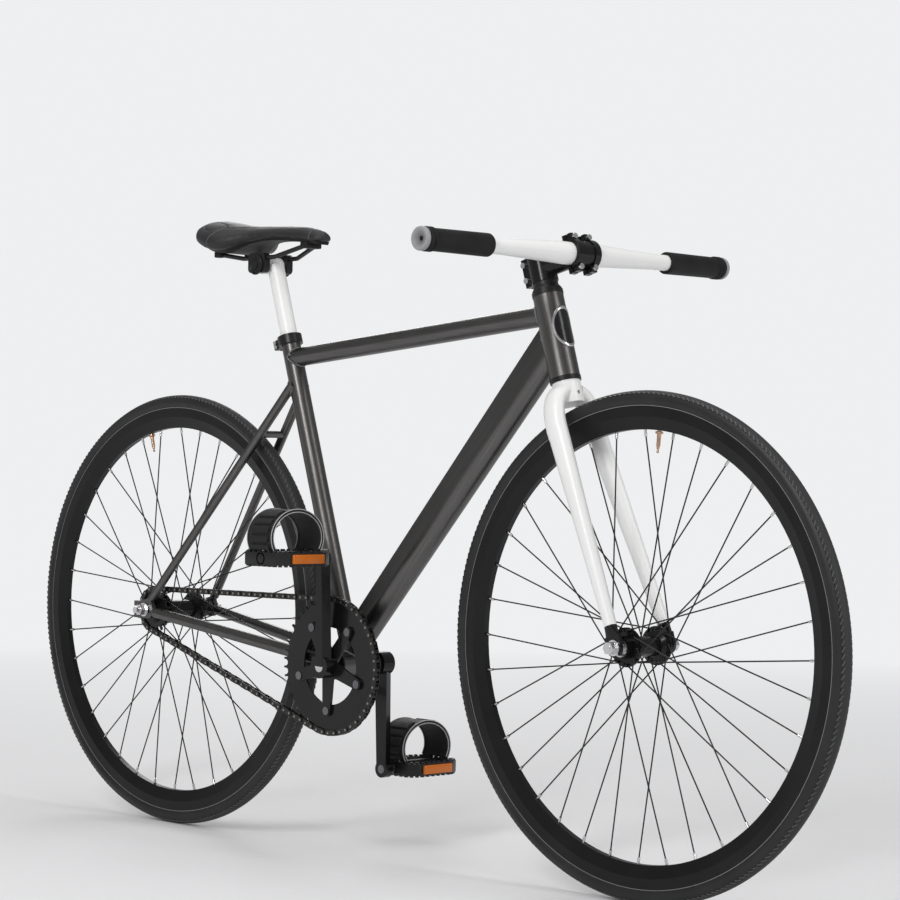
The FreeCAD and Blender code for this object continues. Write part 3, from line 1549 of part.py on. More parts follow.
def spindle_solids():
    """The spindle through the bracket, and a bolt in each end."""
    half = aside(s.spindle_half)
    pieces = [cylinder(s.spindle_radius, bracket - half, bracket + half)]
    for side in (-1, 1):
        start = bracket + half * side
        end = bracket + aside(s.crank_boss_out) * side
        pieces.append(cylinder(s.crank_bolt_head, start, end))
    return Part.makeCompound(pieces)


node("crank_spindle", feature("crank_spindle", spindle_solids()))

# Rear cog and its lockring
cog_wait = math.ceil(run_length / float(s.chain_pitch)) * float(s.chain_pitch) - run_length
cog_phase = side_angle(touch_high) + cog_wait / float(cog_path)
cog_body = sprocket("cog_body", s.cog_teeth, cog_path, s.cog_bore + s.press_gap, rear_axle, cog_phase)
lockring_in = s.chain_line + s.tooth_thick / 2
lockring = ring("lockring", s.cog_bore + s.press_gap, s.lockring_radius, lockring_in,
                lockring_in + s.lockring_thick, aim(rear_axle, -ACROSS))
node("rear_cog", group("rear_cog", cog_body, lockring))

# Pedals
pedal_in = s.crank_end_out + s.pedal_gap
pedal_middle = pedal_in + s.pedal_width / 2
tube_bore = s.pedal_spindle_radius + s.running_gap


def eight_corners(along, across, bar_half, side_half):
    """A rectangle's outline with its four corners cut off."""
    return [
        (-along, -bar_half), (-side_half, -across), (side_half, -across), (along, -bar_half),
        (along, bar_half), (side_half, across), (-side_half, across), (-along, bar_half),
    ]


def pedal(name, place, side):
    """A level platform with two windows, a foot strap through them and two reflectors."""
    middle = place + aside(side * float(pedal_middle))
    flat = Placement(middle, Rotation())
    long, wide = s.pedal_long / 2, s.pedal_width / 2
    window_long, window_wide = long - s.pedal_front_rim, wide - s.pedal_rim
    inset = s.pedal_rim / 2
    frame_corners = eight_corners(long, wide, s.pedal_bar_half, s.pedal_side_half)
    window_corners = eight_corners(window_long, window_wide, s.pedal_bar_half - inset, s.pedal_side_half - inset)
    frame_body = padded(f"pedal_frame_{name}", frame_corners, s.pedal_high, flat)
    window = padded(f"pedal_window_{name}", window_corners, s.pedal_high, flat)
    inner = middle - aside(wide)
    tube = rod(f"pedal_tube_{name}", s.pedal_tube_radius, s.pedal_width, inner, ACROSS)
    bore = rod(f"pedal_bore_{name}", tube_bore, s.pedal_width, inner, ACROSS)
    hollow = cut(f"pedal_open_{name}", frame_body, window)
    solid = fuse(f"pedal_whole_{name}", hollow, tube)
    node(f"pedal_body_{name}", cut(f"pedal_body_{name}", solid, bore))

    strap = feature(f"pedal_strap_{name}", strap_solid(float(window_wide)))
    strap.Placement = flat
    node(f"pedal_strap_{name}", strap)

    half_high = s.reflector_high / 2
    plates = []
    for end, start in (("front", long), ("rear", -long - s.reflector_thick)):
        plates.append(block(
            f"reflector_{end}_{name}", s.reflector_thick, s.reflector_wide, s.reflector_high, flat,
            Vector(start, -s.reflector_wide / 2, -half_high),
        ))
    node(f"pedal_reflectors_{name}", group(f"pedal_reflectors_{name}", *plates))


def strap_solid(window_wide):
    """A broad band that arches over the foot, with its legs through the pedal's windows."""
    top = float(s.pedal_high) / 2
    thick = float(s.strap_thick)
    half = window_wide - float(s.soft_gap)
    rise = float(s.strap_rise)
    foot = -float(s.strap_hang)

    def arch(inset):
        side, crest = half - inset, top + rise - inset
        radius = (side**2 + (rise - inset) ** 2) / (2 * (rise - inset))
        centre = crest - radius
        lean = (math.asin((top - centre) / radius) + math.pi / 2) / 2
        shoulder_y, shoulder_z = radius * math.cos(lean), centre + radius * math.sin(lean)
        return side, crest, shoulder_y, shoulder_z

    def place(across, height):
        return Vector(0, across, height)

    side, crest, shoulder_y, shoulder_z = arch(0.0)
    side_in, crest_in, shoulder_y_in, shoulder_z_in = arch(thick)
    edges = [
        Part.makeLine(place(side, foot), place(side, top)),
        Part.Arc(place(side, top), place(shoulder_y, shoulder_z), place(0, crest)).toShape(),
        Part.Arc(place(0, crest), place(-shoulder_y, shoulder_z), place(-side, top)).toShape(),
        Part.makeLine(place(-side, top), place(-side, foot)),
        Part.makeLine(place(-side, foot), place(-side_in, foot)),
        Part.makeLine(place(-side_in, foot), place(-side_in, top)),
        Part.Arc(place(-side_in, top), place(-shoulder_y_in, shoulder_z_in), place(0, crest_in)).toShape(),
        Part.Arc(place(0, crest_in), place(shoulder_y_in, shoulder_z_in), place(side_in, top)).toShape(),
        Part.makeLine(place(side_in, top), place(side_in, foot)),
        Part.makeLine(place(side_in, foot), place(side, foot)),
    ]
    band = Part.Face(Part.Wire(edges)).extrude(Vector(-s.strap_long, 0, 0))
    band.translate(Vector(s.strap_ahead, 0, 0))
    notch_half = float(s.pedal_tube_radius + s.soft_gap)
    notch = Part.makeBox(notch_half * 2, half * 2, notch_half - foot, Vector(-notch_half, -half, foot))
    return band.cut(notch)


right_pedal = bracket + scaled(right_way, s.crank_length)
left_pedal = bracket - scaled(right_way, s.crank_length)
pedal("right", right_pedal, -1)
pedal("left", left_pedal, 1)
pedal_spindles = []
for name, place, side in (("right", right_pedal, -1), ("left", left_pedal, 1)):
    spindle_in = s.crank_end_out - s.crank_arm_thick
    spindle_end = pedal_in + s.pedal_width - s.pedal_rim
    pedal_spindles.append(turned(f"pedal_spindle_{name}", [
        (0, spindle_in),
        (s.pedal_spindle_radius, spindle_in),
        (s.pedal_spindle_radius, s.crank_end_out),
        (s.pedal_collar_radius, s.crank_end_out),
        (s.pedal_collar_radius, pedal_in - s.soft_gap),
        (s.pedal_spindle_radius, pedal_in - s.soft_gap),
        (s.pedal_spindle_radius, spindle_end),
        (0, spindle_end),
    ], aim(place, ACROSS * side)))
node("pedal_spindles", group("pedal_spindles", *pedal_spindles))

# Seatpost, with its clamp head set a little behind the post
post_bottom = on_seat(s.seat_tube_length - s.seatpost_inside)
post_top = on_seat(s.seat_tube_length + s.seatpost_out)
pivot = post_top - Vector(s.seatpost_setback, 0, 0)
post_length = s.seatpost_inside + s.seatpost_out
head_start = pivot - aside(s.post_head_half)
post_outer = rod("post_outer", s.seatpost_radius, post_length, post_bottom, seat_up)
post_head = rod("post_head", s.post_head_radius, s.post_head_half * 2, head_start, ACROSS)
post_hollow = rod("post_hollow", s.seatpost_radius - s.seatpost_wall, post_length - s.post_head_solid,
                  post_bottom, seat_up)
cradle_hole_radius = s.cradle_bolt_radius + s.running_gap
cradle_hole = rod("cradle_hole", cradle_hole_radius, s.post_head_half * 2, head_start, ACROSS)
node("seatpost", cut("seatpost", fuse("post_blank", post_outer, post_head), post_hollow, cradle_hole))

# The clamp's two sides hold the saddle's rails, on a bolt through the post's head
rail_height = pivot.z + float(s.rail_above_bolt)


def cradle_solids():
    low, high = pivot.z - float(s.cradle_below), rail_height + float(s.cradle_above)
    inner = float(s.post_head_half + s.soft_gap)
    long = float(s.cradle_long)
    outer = inner + float(s.cradle_thick)
    bolt_hole = cylinder(s.cradle_bolt_radius + s.press_gap, pivot - aside(outer), pivot + aside(outer))
    pieces = []
    for side in (-1, 1):
        near, far = sorted((side * inner, side * outer))
        body = Part.makeBox(long, far - near, high - low, Vector(pivot.x - long / 2, near, low))
        long_edges = [edge for edge in body.Edges if edge.tangentAt(edge.FirstParameter).isParallel(ACROSS, 0.01)]
        body = body.makeFillet(float(s.cradle_round), long_edges)
        rail_start = Vector(pivot.x - long / 2, side * float(s.rail_spread), rail_height)
        groove = cylinder(s.rail_radius + s.slide_gap, rail_start, rail_start + Vector(long, 0, 0))
        pieces.append(body.cut([bolt_hole, groove]))
    reach = aside(outer)
    cap = aside(s.cradle_bolt_radius)
    bolt = cylinder(s.cradle_bolt_radius, pivot - reach, pivot + reach)
    heads = [
        cylinder(s.cradle_bolt_head, pivot - reach - cap, pivot - reach),
        cylinder(s.cradle_bolt_head, pivot + reach, pivot + reach + cap),
    ]
    pieces.append(bolt.fuse(heads))
    return Part.makeCompound(pieces)


node("saddle_cradle", feature("saddle_cradle", cradle_solids()))

# Saddle sections from nose to tail: distance back as a share of the length, half width as a share of
# the half width, and the heights of the lower edge and of the crown above the rails in millimetres
SADDLE_SECTIONS = [
    (0.005, 0.15, 24.0, 31.5),
    (0.05, 0.27, 21.0, 38.5),
    (0.18, 0.32, 26.0, 45.5),
    (0.40, 0.40, 31.0, 49.0),
    (0.58, 0.62, 26.0, 51.0),
    (0.70, 0.92, 15.5, 55.0),
    (0.80, 1.00, 16.0, 60.5),
    (0.91, 0.92, 26.0, 64.0),
    (0.985, 0.66, 38.0, 62.5),
]
saddle_nose = pivot.x + float(s.saddle_ahead)


def saddle_station(share, wide):
    return saddle_nose - share * float(s.saddle_length), wide * float(s.saddle_width) / 2


def cover_wire(share, wide, low, high):
    """A flat underside, two drawn-in sides and a crowned top."""
    x, half = saddle_station(share, wide)
    tall = high - low

    def place(across, height):
        return Vector(x, across * half, rail_height + low + height * tall)

    return Part.Wire([
        Part.makeLine(place(-0.88, 0), place(0.88, 0)),
        Part.Arc(place(0.88, 0), place(1.0, 0.30), place(0.78, 0.66)).toShape(),
        Part.Arc(place(0.78, 0.66), place(0, 1), place(-0.78, 0.66)).toShape(),
        Part.Arc(place(-0.78, 0.66), place(-1.0, 0.30), place(-0.88, 0)).toShape(),
    ])


def shell_wire(share, wide, low, _):
    """The stiff base just under the cover, a little narrower than it."""
    x, half = saddle_station(share, wide)
    top = rail_height + low
    bottom = top - float(s.soft_gap + s.saddle_shell_thick)
    sides = ((-0.78, top), (0.78, top), (0.62, bottom), (-0.62, bottom))
    corners = [Vector(x, across * half, z) for across, z in sides]
    return Part.makePolygon(corners + corners[:1])


cover_loft = Part.makeLoft([cover_wire(*station) for station in SADDLE_SECTIONS], True, False)
shell_loft = Part.makeLoft([shell_wire(*station) for station in SADDLE_SECTIONS[1:-1]], True, False)
shell_loft = shell_loft.cut(moved(cover_loft, scaled(UP, -s.soft_gap)))
node("saddle_cover", feature("saddle_cover", cover_loft))
node("saddle_shell", feature("saddle_shell", shell_loft))


def bent_rod(points, radius, bend):
    """A round rod along straight runs joined by arcs of one bend radius."""
    edges = []
    start = points[0]
    for before, corner, after in zip(points, points[1:], points[2:]):
        in_way, out_way = (corner - before).normalize(), (after - corner).normalize()
        turn = in_way.getAngle(out_way)
        setback = bend * math.tan(turn / 2)
        first, last = corner - in_way * setback, corner + out_way * setback
        inward = (out_way - in_way).normalize()
        middle = corner + inward * (bend / math.cos(turn / 2) - bend)
        edges += [Part.makeLine(start, first), Part.Arc(first, middle, last).toShape()]
        start = last
    edges.append(Part.makeLine(start, points[-1]))
    path = Part.Wire(edges)
    profile = Part.Wire(Part.makeCircle(radius, points[0], points[1] - points[0]))
    return path.makePipeShell([profile], True, False)


def shell_under(share):
    """The height of the shell's underside at a share of the saddle's length."""
    shares = [station[0] for station in SADDLE_SECTIONS]
    after = next(index for index, value in enumerate(shares) if value >= share)
    low, high = SADDLE_SECTIONS[after - 1], SADDLE_SECTIONS[after]
    blend = (share - low[0]) / (high[0] - low[0])
    edge = low[2] + (high[2] - low[2]) * blend
    return rail_height + edge - float(s.soft_gap) - float(s.saddle_shell_thick)


NOSE_SHARE, TAIL_SHARE = 0.15, 0.81
rails = []
for side in (-1, 1):
    radius = float(s.rail_radius)
    tip_clear = radius + float(s.soft_gap)
    nose_x, _ = saddle_station(NOSE_SHARE, 0)
    tail_x, _ = saddle_station(TAIL_SHARE, 0)
    route = [
        Vector(nose_x, side * float(s.rail_nose_spread), shell_under(NOSE_SHARE) - tip_clear),
        Vector(pivot.x + float(s.rail_flat_half), side * float(s.rail_spread), rail_height),
        Vector(pivot.x - float(s.rail_flat_half), side * float(s.rail_spread), rail_height),
        Vector(tail_x, side * float(s.rail_tail_spread), shell_under(TAIL_SHARE) - tip_clear),
    ]
    rails.append(bent_rod(route, radius, float(s.rail_bend)))
node("saddle_rails", feature("saddle_rails", Part.makeCompound(rails)))

# Every object must have built, and every sub-part must be whole, before anything is written
doc.recompute()
failed = [item.Name for item in doc.Objects if {"Invalid", "Error"} & set(item.State)]
if failed:
    raise RuntimeError(f"these objects did not build: {failed}")
for label, piece in nodes.items():
    shape = piece.Shape
    if shape.isNull() or not shape.isValid() or not shape.Solids:
        raise RuntimeError(f"{label} is not a whole solid")

os.makedirs("parts", exist_ok=True)
for label, piece in nodes.items():
    piece.Shape.exportStep(f"parts/{label}.step")
    print(f"{label}: {len(piece.Shape.Solids)} solids, {piece.Shape.Volume / 1000:.1f} cm3")
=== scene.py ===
import math

import bmesh
import bpy
from mathutils import Matrix, Vector, kdtree
from mathutils.bvhtree import BVHTree


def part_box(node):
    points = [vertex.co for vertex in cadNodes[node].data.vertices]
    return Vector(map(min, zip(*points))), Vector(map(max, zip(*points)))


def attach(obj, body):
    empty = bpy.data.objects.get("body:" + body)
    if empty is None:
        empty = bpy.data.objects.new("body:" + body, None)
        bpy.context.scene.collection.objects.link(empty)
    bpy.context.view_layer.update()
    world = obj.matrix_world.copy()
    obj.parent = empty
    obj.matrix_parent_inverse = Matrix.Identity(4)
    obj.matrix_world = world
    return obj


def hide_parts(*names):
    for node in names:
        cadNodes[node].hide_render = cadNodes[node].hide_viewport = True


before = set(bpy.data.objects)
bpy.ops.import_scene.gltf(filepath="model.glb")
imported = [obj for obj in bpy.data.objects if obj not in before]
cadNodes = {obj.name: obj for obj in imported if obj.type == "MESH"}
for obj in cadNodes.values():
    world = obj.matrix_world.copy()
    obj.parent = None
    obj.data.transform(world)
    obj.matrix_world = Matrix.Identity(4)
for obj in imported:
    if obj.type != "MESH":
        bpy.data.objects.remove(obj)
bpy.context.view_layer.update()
scene = bpy.context.scene
scene.view_settings.view_transform = "Standard"
print("frame loaded,", len(cadNodes), "nodes")

# where the bike's main lines are, in metres
layout = {
    "frontAxle": Vector((0.4825, 0, 0.336)),
    "rearAxle": Vector((-0.4825, 0, 0.336)),
    "bracket": Vector((-0.07298, 0, 0.275)),
    "barMiddle": Vector((0.361139, 0, 0.855600)),
    "saddlePivot": Vector((-0.273785, 0, 0.866603)),
    "headAngle": 73.2,
    "headSetBack": 0.036,
    "seatAngle": 72.3,
    "chainLine": -0.045,
    "topTubeRise": 0.035,
    "downTubeTop": 0.424,
    "seatstayTop": 0.431,
}


def leaning(degrees):
    return Vector((-math.cos(math.radians(degrees)), 0, math.sin(math.radians(degrees))))


headUp = leaning(layout["headAngle"])
headAhead = Vector((headUp.z, 0, -headUp.x))
headFoot = layout["frontAxle"] - headAhead * layout["headSetBack"]
seatUp = leaning(layout["seatAngle"])
seatBehind = Vector((-seatUp.z, 0, seatUp.x))
sideways = Vector((0, 1, 0))


# meshes and objects

def smoothMesh(mesh, sharpAngle=35):
    mesh.polygons.foreach_set("use_smooth", [True] * len(mesh.polygons))
    mesh.set_sharp_from_angle(angle=math.radians(sharpAngle))
    mesh.update()


def meshFrom(name, points, faces, uvs=None, sharpAngle=35):
    work = bmesh.new()
    corners = [work.verts.new(point) for point in points]
    uvLayer = work.loops.layers.uv.new("UVMap") if uvs else None
    for index, face in enumerate(faces):
        made = work.faces.new([corners[corner] for corner in face])
        if uvs:
            for loop, uv in zip(made.loops, uvs[index]):
                loop[uvLayer].uv = uv
    bmesh.ops.remove_doubles(work, verts=work.verts, dist=1e-7)
    bmesh.ops.recalc_face_normals(work, faces=work.faces)
    mesh = bpy.data.meshes.new(name)
    work.to_mesh(mesh)
    work.free()
    smoothMesh(mesh, sharpAngle)
    return mesh


def addObject(name, mesh, *materials):
    made = bpy.data.objects.new(name, mesh)
    scene.collection.objects.link(made)
    mesh.materials.clear()
    for material in materials:
        mesh.materials.append(material)
    return made


def settle(piece, body, slotName, *replaced):
    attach(piece, body)
    if replaced:
        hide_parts(*replaced)
    return piece


def addPiece(name, mesh, material, body, slotName, *replaced):
    return settle(addObject(name, mesh, material), body, slotName, *replaced)


# profile points are (radius, along); the axis is local Z of the place
def turnedMesh(name, profile, place, steps=96, closed=False, sharpAngle=35):
    points, faces, uvs = [], [], []
    count = len(profile)
    for step in range(steps):
        turn = math.tau * step / steps
        for radius, along in profile:
            points.append(place @ Vector((radius * math.cos(turn), radius * math.sin(turn), along)))
    rows = count if closed else count - 1
    for step in range(steps):
        after = (step + 1) % steps
        for row in range(rows):
            below = (row + 1) % count
            ring = [(step, row), (after, row), (after, below), (step, below)]
            corners = [at * count + line for at, line in ring]
            low, high = step / steps, (step + 1) / steps
            near, far = row / rows, (row + 1) / rows
            quad = [(low, near), (high, near), (high, far), (low, far)]
            kept, keptUvs = [], []
            for corner, uv in zip(corners, quad):
                if all((points[corner] - points[other]).length > 1e-8 for other in kept):
                    kept.append(corner)
                    keptUvs.append(uv)
            if len(kept) > 2:
                faces.append(kept)
                uvs.append(keptUvs)
    return meshFrom(name, points, faces, uvs, sharpAngle)


def axisPlace(origin, direction, reference=Vector((1, 0, 0))):
    up = direction.normalized()
    first = (reference - up * reference.dot(up)).normalized()
    second = up.cross(first)
    return Matrix.Translation(origin) @ Matrix((first, second, up)).transposed().to_4x4()


def joined(name, *parts):
    work = bmesh.new()
    for part in parts:
        work.from_mesh(part)
        bpy.data.meshes.remove(part)
    mesh = bpy.data.meshes.new(name)
    work.to_mesh(mesh)
    work.free()
    smoothMesh(mesh)
    return mesh


def applyModifiers(piece):
    graph = bpy.context.evaluated_depsgraph_get()
    mesh = bpy.data.meshes.new_from_object(piece.evaluated_get(graph), depsgraph=graph)
    piece.modifiers.clear()
    piece.data = mesh
    return piece


def withModifiers(piece, sharpAngle=35):
    smoothMesh(applyModifiers(piece).data, sharpAngle)
    return piece


# quads between rows of points, each row a closed ring, and a face at each end
def tubeFaces(rows, count):
    faces = []
    for row in range(rows - 1):
        for at in range(count):
            after = (at + 1) % count
            faces.append([row * count + at, row * count + after, (row + 1) * count + after, (row + 1) * count + at])
    return faces + [list(range(count)), list(range((rows - 1) * count, rows * count))]


def treeOf(mesh):
    return BVHTree.FromPolygons([vertex.co for vertex in mesh.vertices], [face.vertices[:] for face in mesh.polygons])


# materials

shaderInputs = {"metallic": "Metallic", "coat": "Coat Weight", "coatRoughness": "Coat Roughness",
                "specular": "Specular IOR Level", "sheen": "Sheen Weight"}


def startMaterial(name, **look):
    material = bpy.data.materials.new(name)
    material.use_nodes = True
    shader = material.node_tree.nodes["Principled BSDF"]
    for key, value in look.items():
        shader.inputs[shaderInputs[key]].default_value = value
    return material, shader


def treeNode(tree, kind, values=None, **settings):
    made = tree.nodes.new(kind)
    for key, value in settings.items():
        setattr(made, key, value)
    for key, value in (values or {}).items():
        if isinstance(value, bpy.types.NodeSocket):
            tree.links.new(value, made.inputs[key])
        else:
            made.inputs[key].default_value = value
    return made


def addNode(material, kind, values=None, **settings):
    return treeNode(material.node_tree, kind, values, **settings)


def feed(material, source, target):
    material.node_tree.links.new(source, target)


def objectPoint(material, origin=(0, 0, 0), turn=(0, 0, 0), size=(1, 1, 1)):
    coords = addNode(material, "ShaderNodeTexCoord")
    return addNode(material, "ShaderNodeMapping", {
        "Vector": coords.outputs["Object"], "Location": origin, "Rotation": turn, "Scale": size,
    }, vector_type="TEXTURE").outputs["Vector"]


def noise(material, point, scale, detail=3.0):
    return addNode(material, "ShaderNodeTexNoise", {
        "Vector": point, "Scale": scale, "Detail": detail, "Roughness": 0.55,
    }).outputs["Fac"]


def ramp(material, factor, *stops):
    made = addNode(material, "ShaderNodeValToRGB", {"Fac": factor})
    for step, (place, colour) in zip(made.color_ramp.elements, stops):
        step.position = place
        step.color = (*colour, 1)
    return made.outputs["Color"]


def spread(material, value, low, high, first=0.0, last=1.0):
    return addNode(material, "ShaderNodeMapRange", {
        "Value": value, "From Min": low, "From Max": high, "To Min": first, "To Max": last,
    }).outputs["Result"]


def between(material, factor, low, high):
    return spread(material, factor, 0.25, 0.75, low, high)


def sums(material, operation, first, second=0.0):
    return addNode(material, "ShaderNodeMath", {0: first, 1: second}, operation=operation).outputs[0]


def mixed(material, factor, first, second):
    made = addNode(material, "ShaderNodeMix", {"Factor": factor}, data_type="RGBA")
    for socket, value in ((made.inputs[6], first), (made.inputs[7], second)):
        if isinstance(value, bpy.types.NodeSocket):
            feed(material, value, socket)
        else:
            socket.default_value = (*value, 1)
    return made.outputs[2]


def bumped(material, shader, height, strength, distance):
    bump = addNode(material, "ShaderNodeBump", {"Height": height, "Strength": strength, "Distance": distance})
    feed(material, bump.outputs["Normal"], shader.inputs["Normal"])


# gloss is a factor with its low and high roughness; bump is a height with its strength and distance
def surfaced(material, shader, colour, gloss, bump):
    feed(material, colour, shader.inputs["Base Color"])
    feed(material, between(material, *gloss), shader.inputs["Roughness"])
    bumped(material, shader, *bump)
    return material


def length(material, vector):
    return addNode(material, "ShaderNodeVectorMath", {0: vector}, operation="LENGTH").outputs["Value"]


# distance from a line across the bike
def awayFromLine(material, point):
    parts = addNode(material, "ShaderNodeSeparateXYZ", {0: point}).outputs
    return length(material, addNode(material, "ShaderNodeCombineXYZ", {"X": parts["X"], "Z": parts["Z"]}).outputs[0])


# a painted, cast or moulded surface with slow colour drift, uneven gloss and a fine skin
def plainFinish(name, dark, light, rough, skin, drift=9.0, **look):
    material, shader = startMaterial(name, **look)
    point = objectPoint(material)
    slow = noise(material, point, drift)
    fine = noise(material, point, skin[0], 2.0)
    colour = ramp(material, slow, (0.3, dark), (0.7, light))
    return surfaced(material, shader, colour, (fine, *rough), (fine, *skin[1:]))


# frame metal has long fine streaks along its tube
frameLook = {
    "dark": (0.100, 0.097, 0.095), "light": (0.155, 0.150, 0.147), "rough": (0.29, 0.39),
    "streak": (0.11, 0.0011, 0.0011),
}


def frameMetal(name, direction):
    material, shader = startMaterial(name, metallic=1.0)
    turn = direction.to_track_quat("X", "Z").to_euler()
    streaks = noise(material, objectPoint(material, (0, 0, 0), turn, frameLook["streak"]), 1.0, 4.0)
    clouds = noise(material, objectPoint(material), 7.0, 2.0)
    tone = sums(material, "ADD", sums(material, "MULTIPLY", streaks, 0.75), sums(material, "MULTIPLY", clouds, 0.25))
    colour = ramp(material, tone, (0.34, frameLook["dark"]), (0.66, frameLook["light"]))
    return surfaced(material, shader, colour, (tone, *frameLook["rough"]), (streaks, 0.10, 0.0002))


whiteLacquer = plainFinish("white_lacquer", (0.77, 0.77, 0.76), (0.80, 0.80, 0.795), (0.32, 0.40), (700, 0.02, 0.0004),
                           coat=0.2, coatRoughness=0.14, specular=0.35)
blackGloss = plainFinish("black_gloss", (0.005, 0.005, 0.0055), (0.009, 0.009, 0.0095), (0.16, 0.24),
                         (600, 0.03, 0.0003), coat=0.1, coatRoughness=0.06, specular=0.22)
blackSatin = plainFinish("black_satin", (0.006, 0.006, 0.0065), (0.011, 0.011, 0.0115), (0.34, 0.44),
                         (1400, 0.05, 0.0003), specular=0.3)
blackSteel = plainFinish("black_steel", (0.010, 0.010, 0.011), (0.017, 0.017, 0.018), (0.30, 0.42),
                         (1800, 0.04, 0.0002), metallic=0.3)
brightSteel = plainFinish("bright_steel", (0.60, 0.60, 0.61), (0.70, 0.70, 0.71), (0.20, 0.32), (1500, 0.04, 0.0002),
                          drift=40, metallic=1.0)
darkSteel = plainFinish("dark_steel", (0.16, 0.16, 0.17), (0.22, 0.22, 0.23), (0.25, 0.38), (1500, 0.05, 0.0002),
                        drift=40, metallic=1.0)
shellPlastic = plainFinish("shell_plastic", (0.006, 0.006, 0.0065), (0.010, 0.010, 0.0105), (0.48, 0.62),
                           (1100, 0.20, 0.0003), specular=0.25)
print("base finishes ready")


# frame tubes: one brushed finish for each tube's direction
tubeDirections = {
    "head_tube": headUp,
    "top_tube": Vector((1, 0, layout["topTubeRise"])),
    "down_tube": headFoot + headUp * layout["downTubeTop"] - layout["bracket"],
    "seat_tube": seatUp,
    "bottom_bracket_shell": sideways,
    "chainstays": layout["rearAxle"] - layout["bracket"],
    "seatstays": layout["bracket"] + seatUp * layout["seatstayTop"] - layout["rearAxle"],
    "stay_bridges": sideways,
    "track_ends": Vector((1, 0, 0)),
}


def dress(nodeName, material):
    for slot in cadNodes[nodeName].material_slots:
        slot.material = material


for tubeName, direction in tubeDirections.items():
    dress(tubeName, frameMetal(tubeName + "_metal", direction))

plainNodes = {
    whiteLacquer: ["fork_crown", "fork_blades", "handlebar", "seatpost"],
    blackGloss: ["stem", "stem_faceplate", "front_hub", "rear_hub", "top_cap", "fork_tips", "crank_arm_right",
                 "crank_arm_left", "chainring"],
    blackSatin: ["headset_cups", "headset_spacers", "saddle_cradle", "bottom_bracket_cartridge"],
    blackSteel: ["front_spokes", "rear_spokes", "saddle_rails", "fork_steerer", "rear_cog"],
    brightSteel: ["stem_bolts", "rear_axle", "front_axle", "front_nipples", "rear_nipples", "crank_spindle",
                  "headset_bearings", "front_hub_bearings", "rear_hub_bearings"],
    darkSteel: ["pedal_spindles", "chainring_bolts"],
    shellPlastic: ["saddle_shell"],
}
for material, names in plainNodes.items():
    for nodeName in names:
        dress(nodeName, material)


# two finishes on one node, parted by a mask
def partedFinish(name, inner, outer, rough, metallic, maskOf):
    material, shader = startMaterial(name, specular=0.35)
    point = objectPoint(material)
    mask = maskOf(material, point)
    grain = noise(material, point, 1500, 2.0)
    dark = ramp(material, grain, (0.3, tuple(0.8 * part for part in inner)), (0.7, inner))
    light = ramp(material, grain, (0.3, tuple(0.85 * part for part in outer)), (0.7, outer))
    feed(material, spread(material, mask, 0.0, 1.0, *metallic), shader.inputs["Metallic"])
    return surfaced(material, shader, mixed(material, mask, dark, light), (grain, *rough), (grain, 0.05, 0.0002))


def asideMask(material, point, middle, half):
    across = addNode(material, "ShaderNodeSeparateXYZ", {0: point}).outputs["Y"]
    away = sums(material, "ABSOLUTE", sums(material, "SUBTRACT", across, middle))
    return sums(material, "GREATER_THAN", away, half)


maskSizes = {"pinsAside": 0.00425, "boltsBehind": 0.0195, "boltsAside": 0.0091}


# the chain's outer plates and pin ends stand further from its middle plane than its rollers
def pinMask(material, point):
    return asideMask(material, point, layout["chainLine"], maskSizes["pinsAside"])


# the clamp's bolt heads are behind the seat tube and out to the sides
def boltMask(material, point):
    behind = addNode(material, "ShaderNodeVectorMath", {0: point, 1: seatBehind}, operation="DOT_PRODUCT")
    limit = layout["bracket"].dot(seatBehind) + maskSizes["boltsBehind"]
    rear = sums(material, "GREATER_THAN", behind.outputs["Value"], limit)
    return sums(material, "MULTIPLY", rear, asideMask(material, point, 0.0, maskSizes["boltsAside"]))


dress("chain", partedFinish("chain_steel", (0.055, 0.053, 0.051), (0.34, 0.33, 0.32), (0.28, 0.42), (0.9, 1.0),
                            pinMask))
dress("seat_clamp", partedFinish("clamp_black", (0.010, 0.010, 0.011), (0.66, 0.66, 0.67), (0.26, 0.40), (0.0, 1.0),
                                 boltMask))

# anodised rims: fine turning lines run round the wheel, and a painted highlight runs along the rounded outer edge
rimLook = {"dark": (0.003, 0.003, 0.0033), "light": (0.007, 0.007, 0.0074), "linePitch": 0.0007,
           "edge": (0.20, 0.20, 0.21), "paintedHighlightFrom": 0.3154, "paintedHighlightTo": 0.3158}


def rimFinish(name, axle):
    material, shader = startMaterial(name, specular=0.26)
    point = objectPoint(material, axle)
    away = awayFromLine(material, point)
    rings = addNode(material, "ShaderNodeTexNoise", {
        "W": sums(material, "DIVIDE", away, rimLook["linePitch"]), "Scale": 1.0, "Detail": 2.0,
    }, noise_dimensions="1D").outputs["Fac"]
    clouds = noise(material, point, 12.0)
    flank = ramp(material, clouds, (0.3, rimLook["dark"]), (0.7, rimLook["light"]))
    # painted highlight: a light grey band painted along the rim's outer edge, where its rounded wall would catch the
    # light
    edge = spread(material, away, rimLook["paintedHighlightFrom"], rimLook["paintedHighlightTo"])
    return surfaced(material, shader, mixed(material, edge, flank, rimLook["edge"]), (rings, 0.30, 0.42),
                    (rings, 0.06, 0.0002))


wheels = {"front": layout["frontAxle"], "rear": layout["rearAxle"]}
for wheelName, axle in wheels.items():
    dress(wheelName + "_rim", rimFinish(wheelName + "_rim_black", axle))
print("carried nodes dressed")


# node trees that set small copies along a path

def startTree(name, sockets):
    tree = bpy.data.node_groups.new(name, "GeometryNodeTree")
    tree.interface.new_socket("Geometry", in_out="INPUT", socket_type="NodeSocketGeometry")
    tree.interface.new_socket("Geometry", in_out="OUTPUT", socket_type="NodeSocketGeometry")
    for label, kind in sockets.items():
        tree.interface.new_socket(label, in_out="INPUT", socket_type=kind)
    return tree, tree.nodes.new("NodeGroupInput"), tree.nodes.new("NodeGroupOutput")


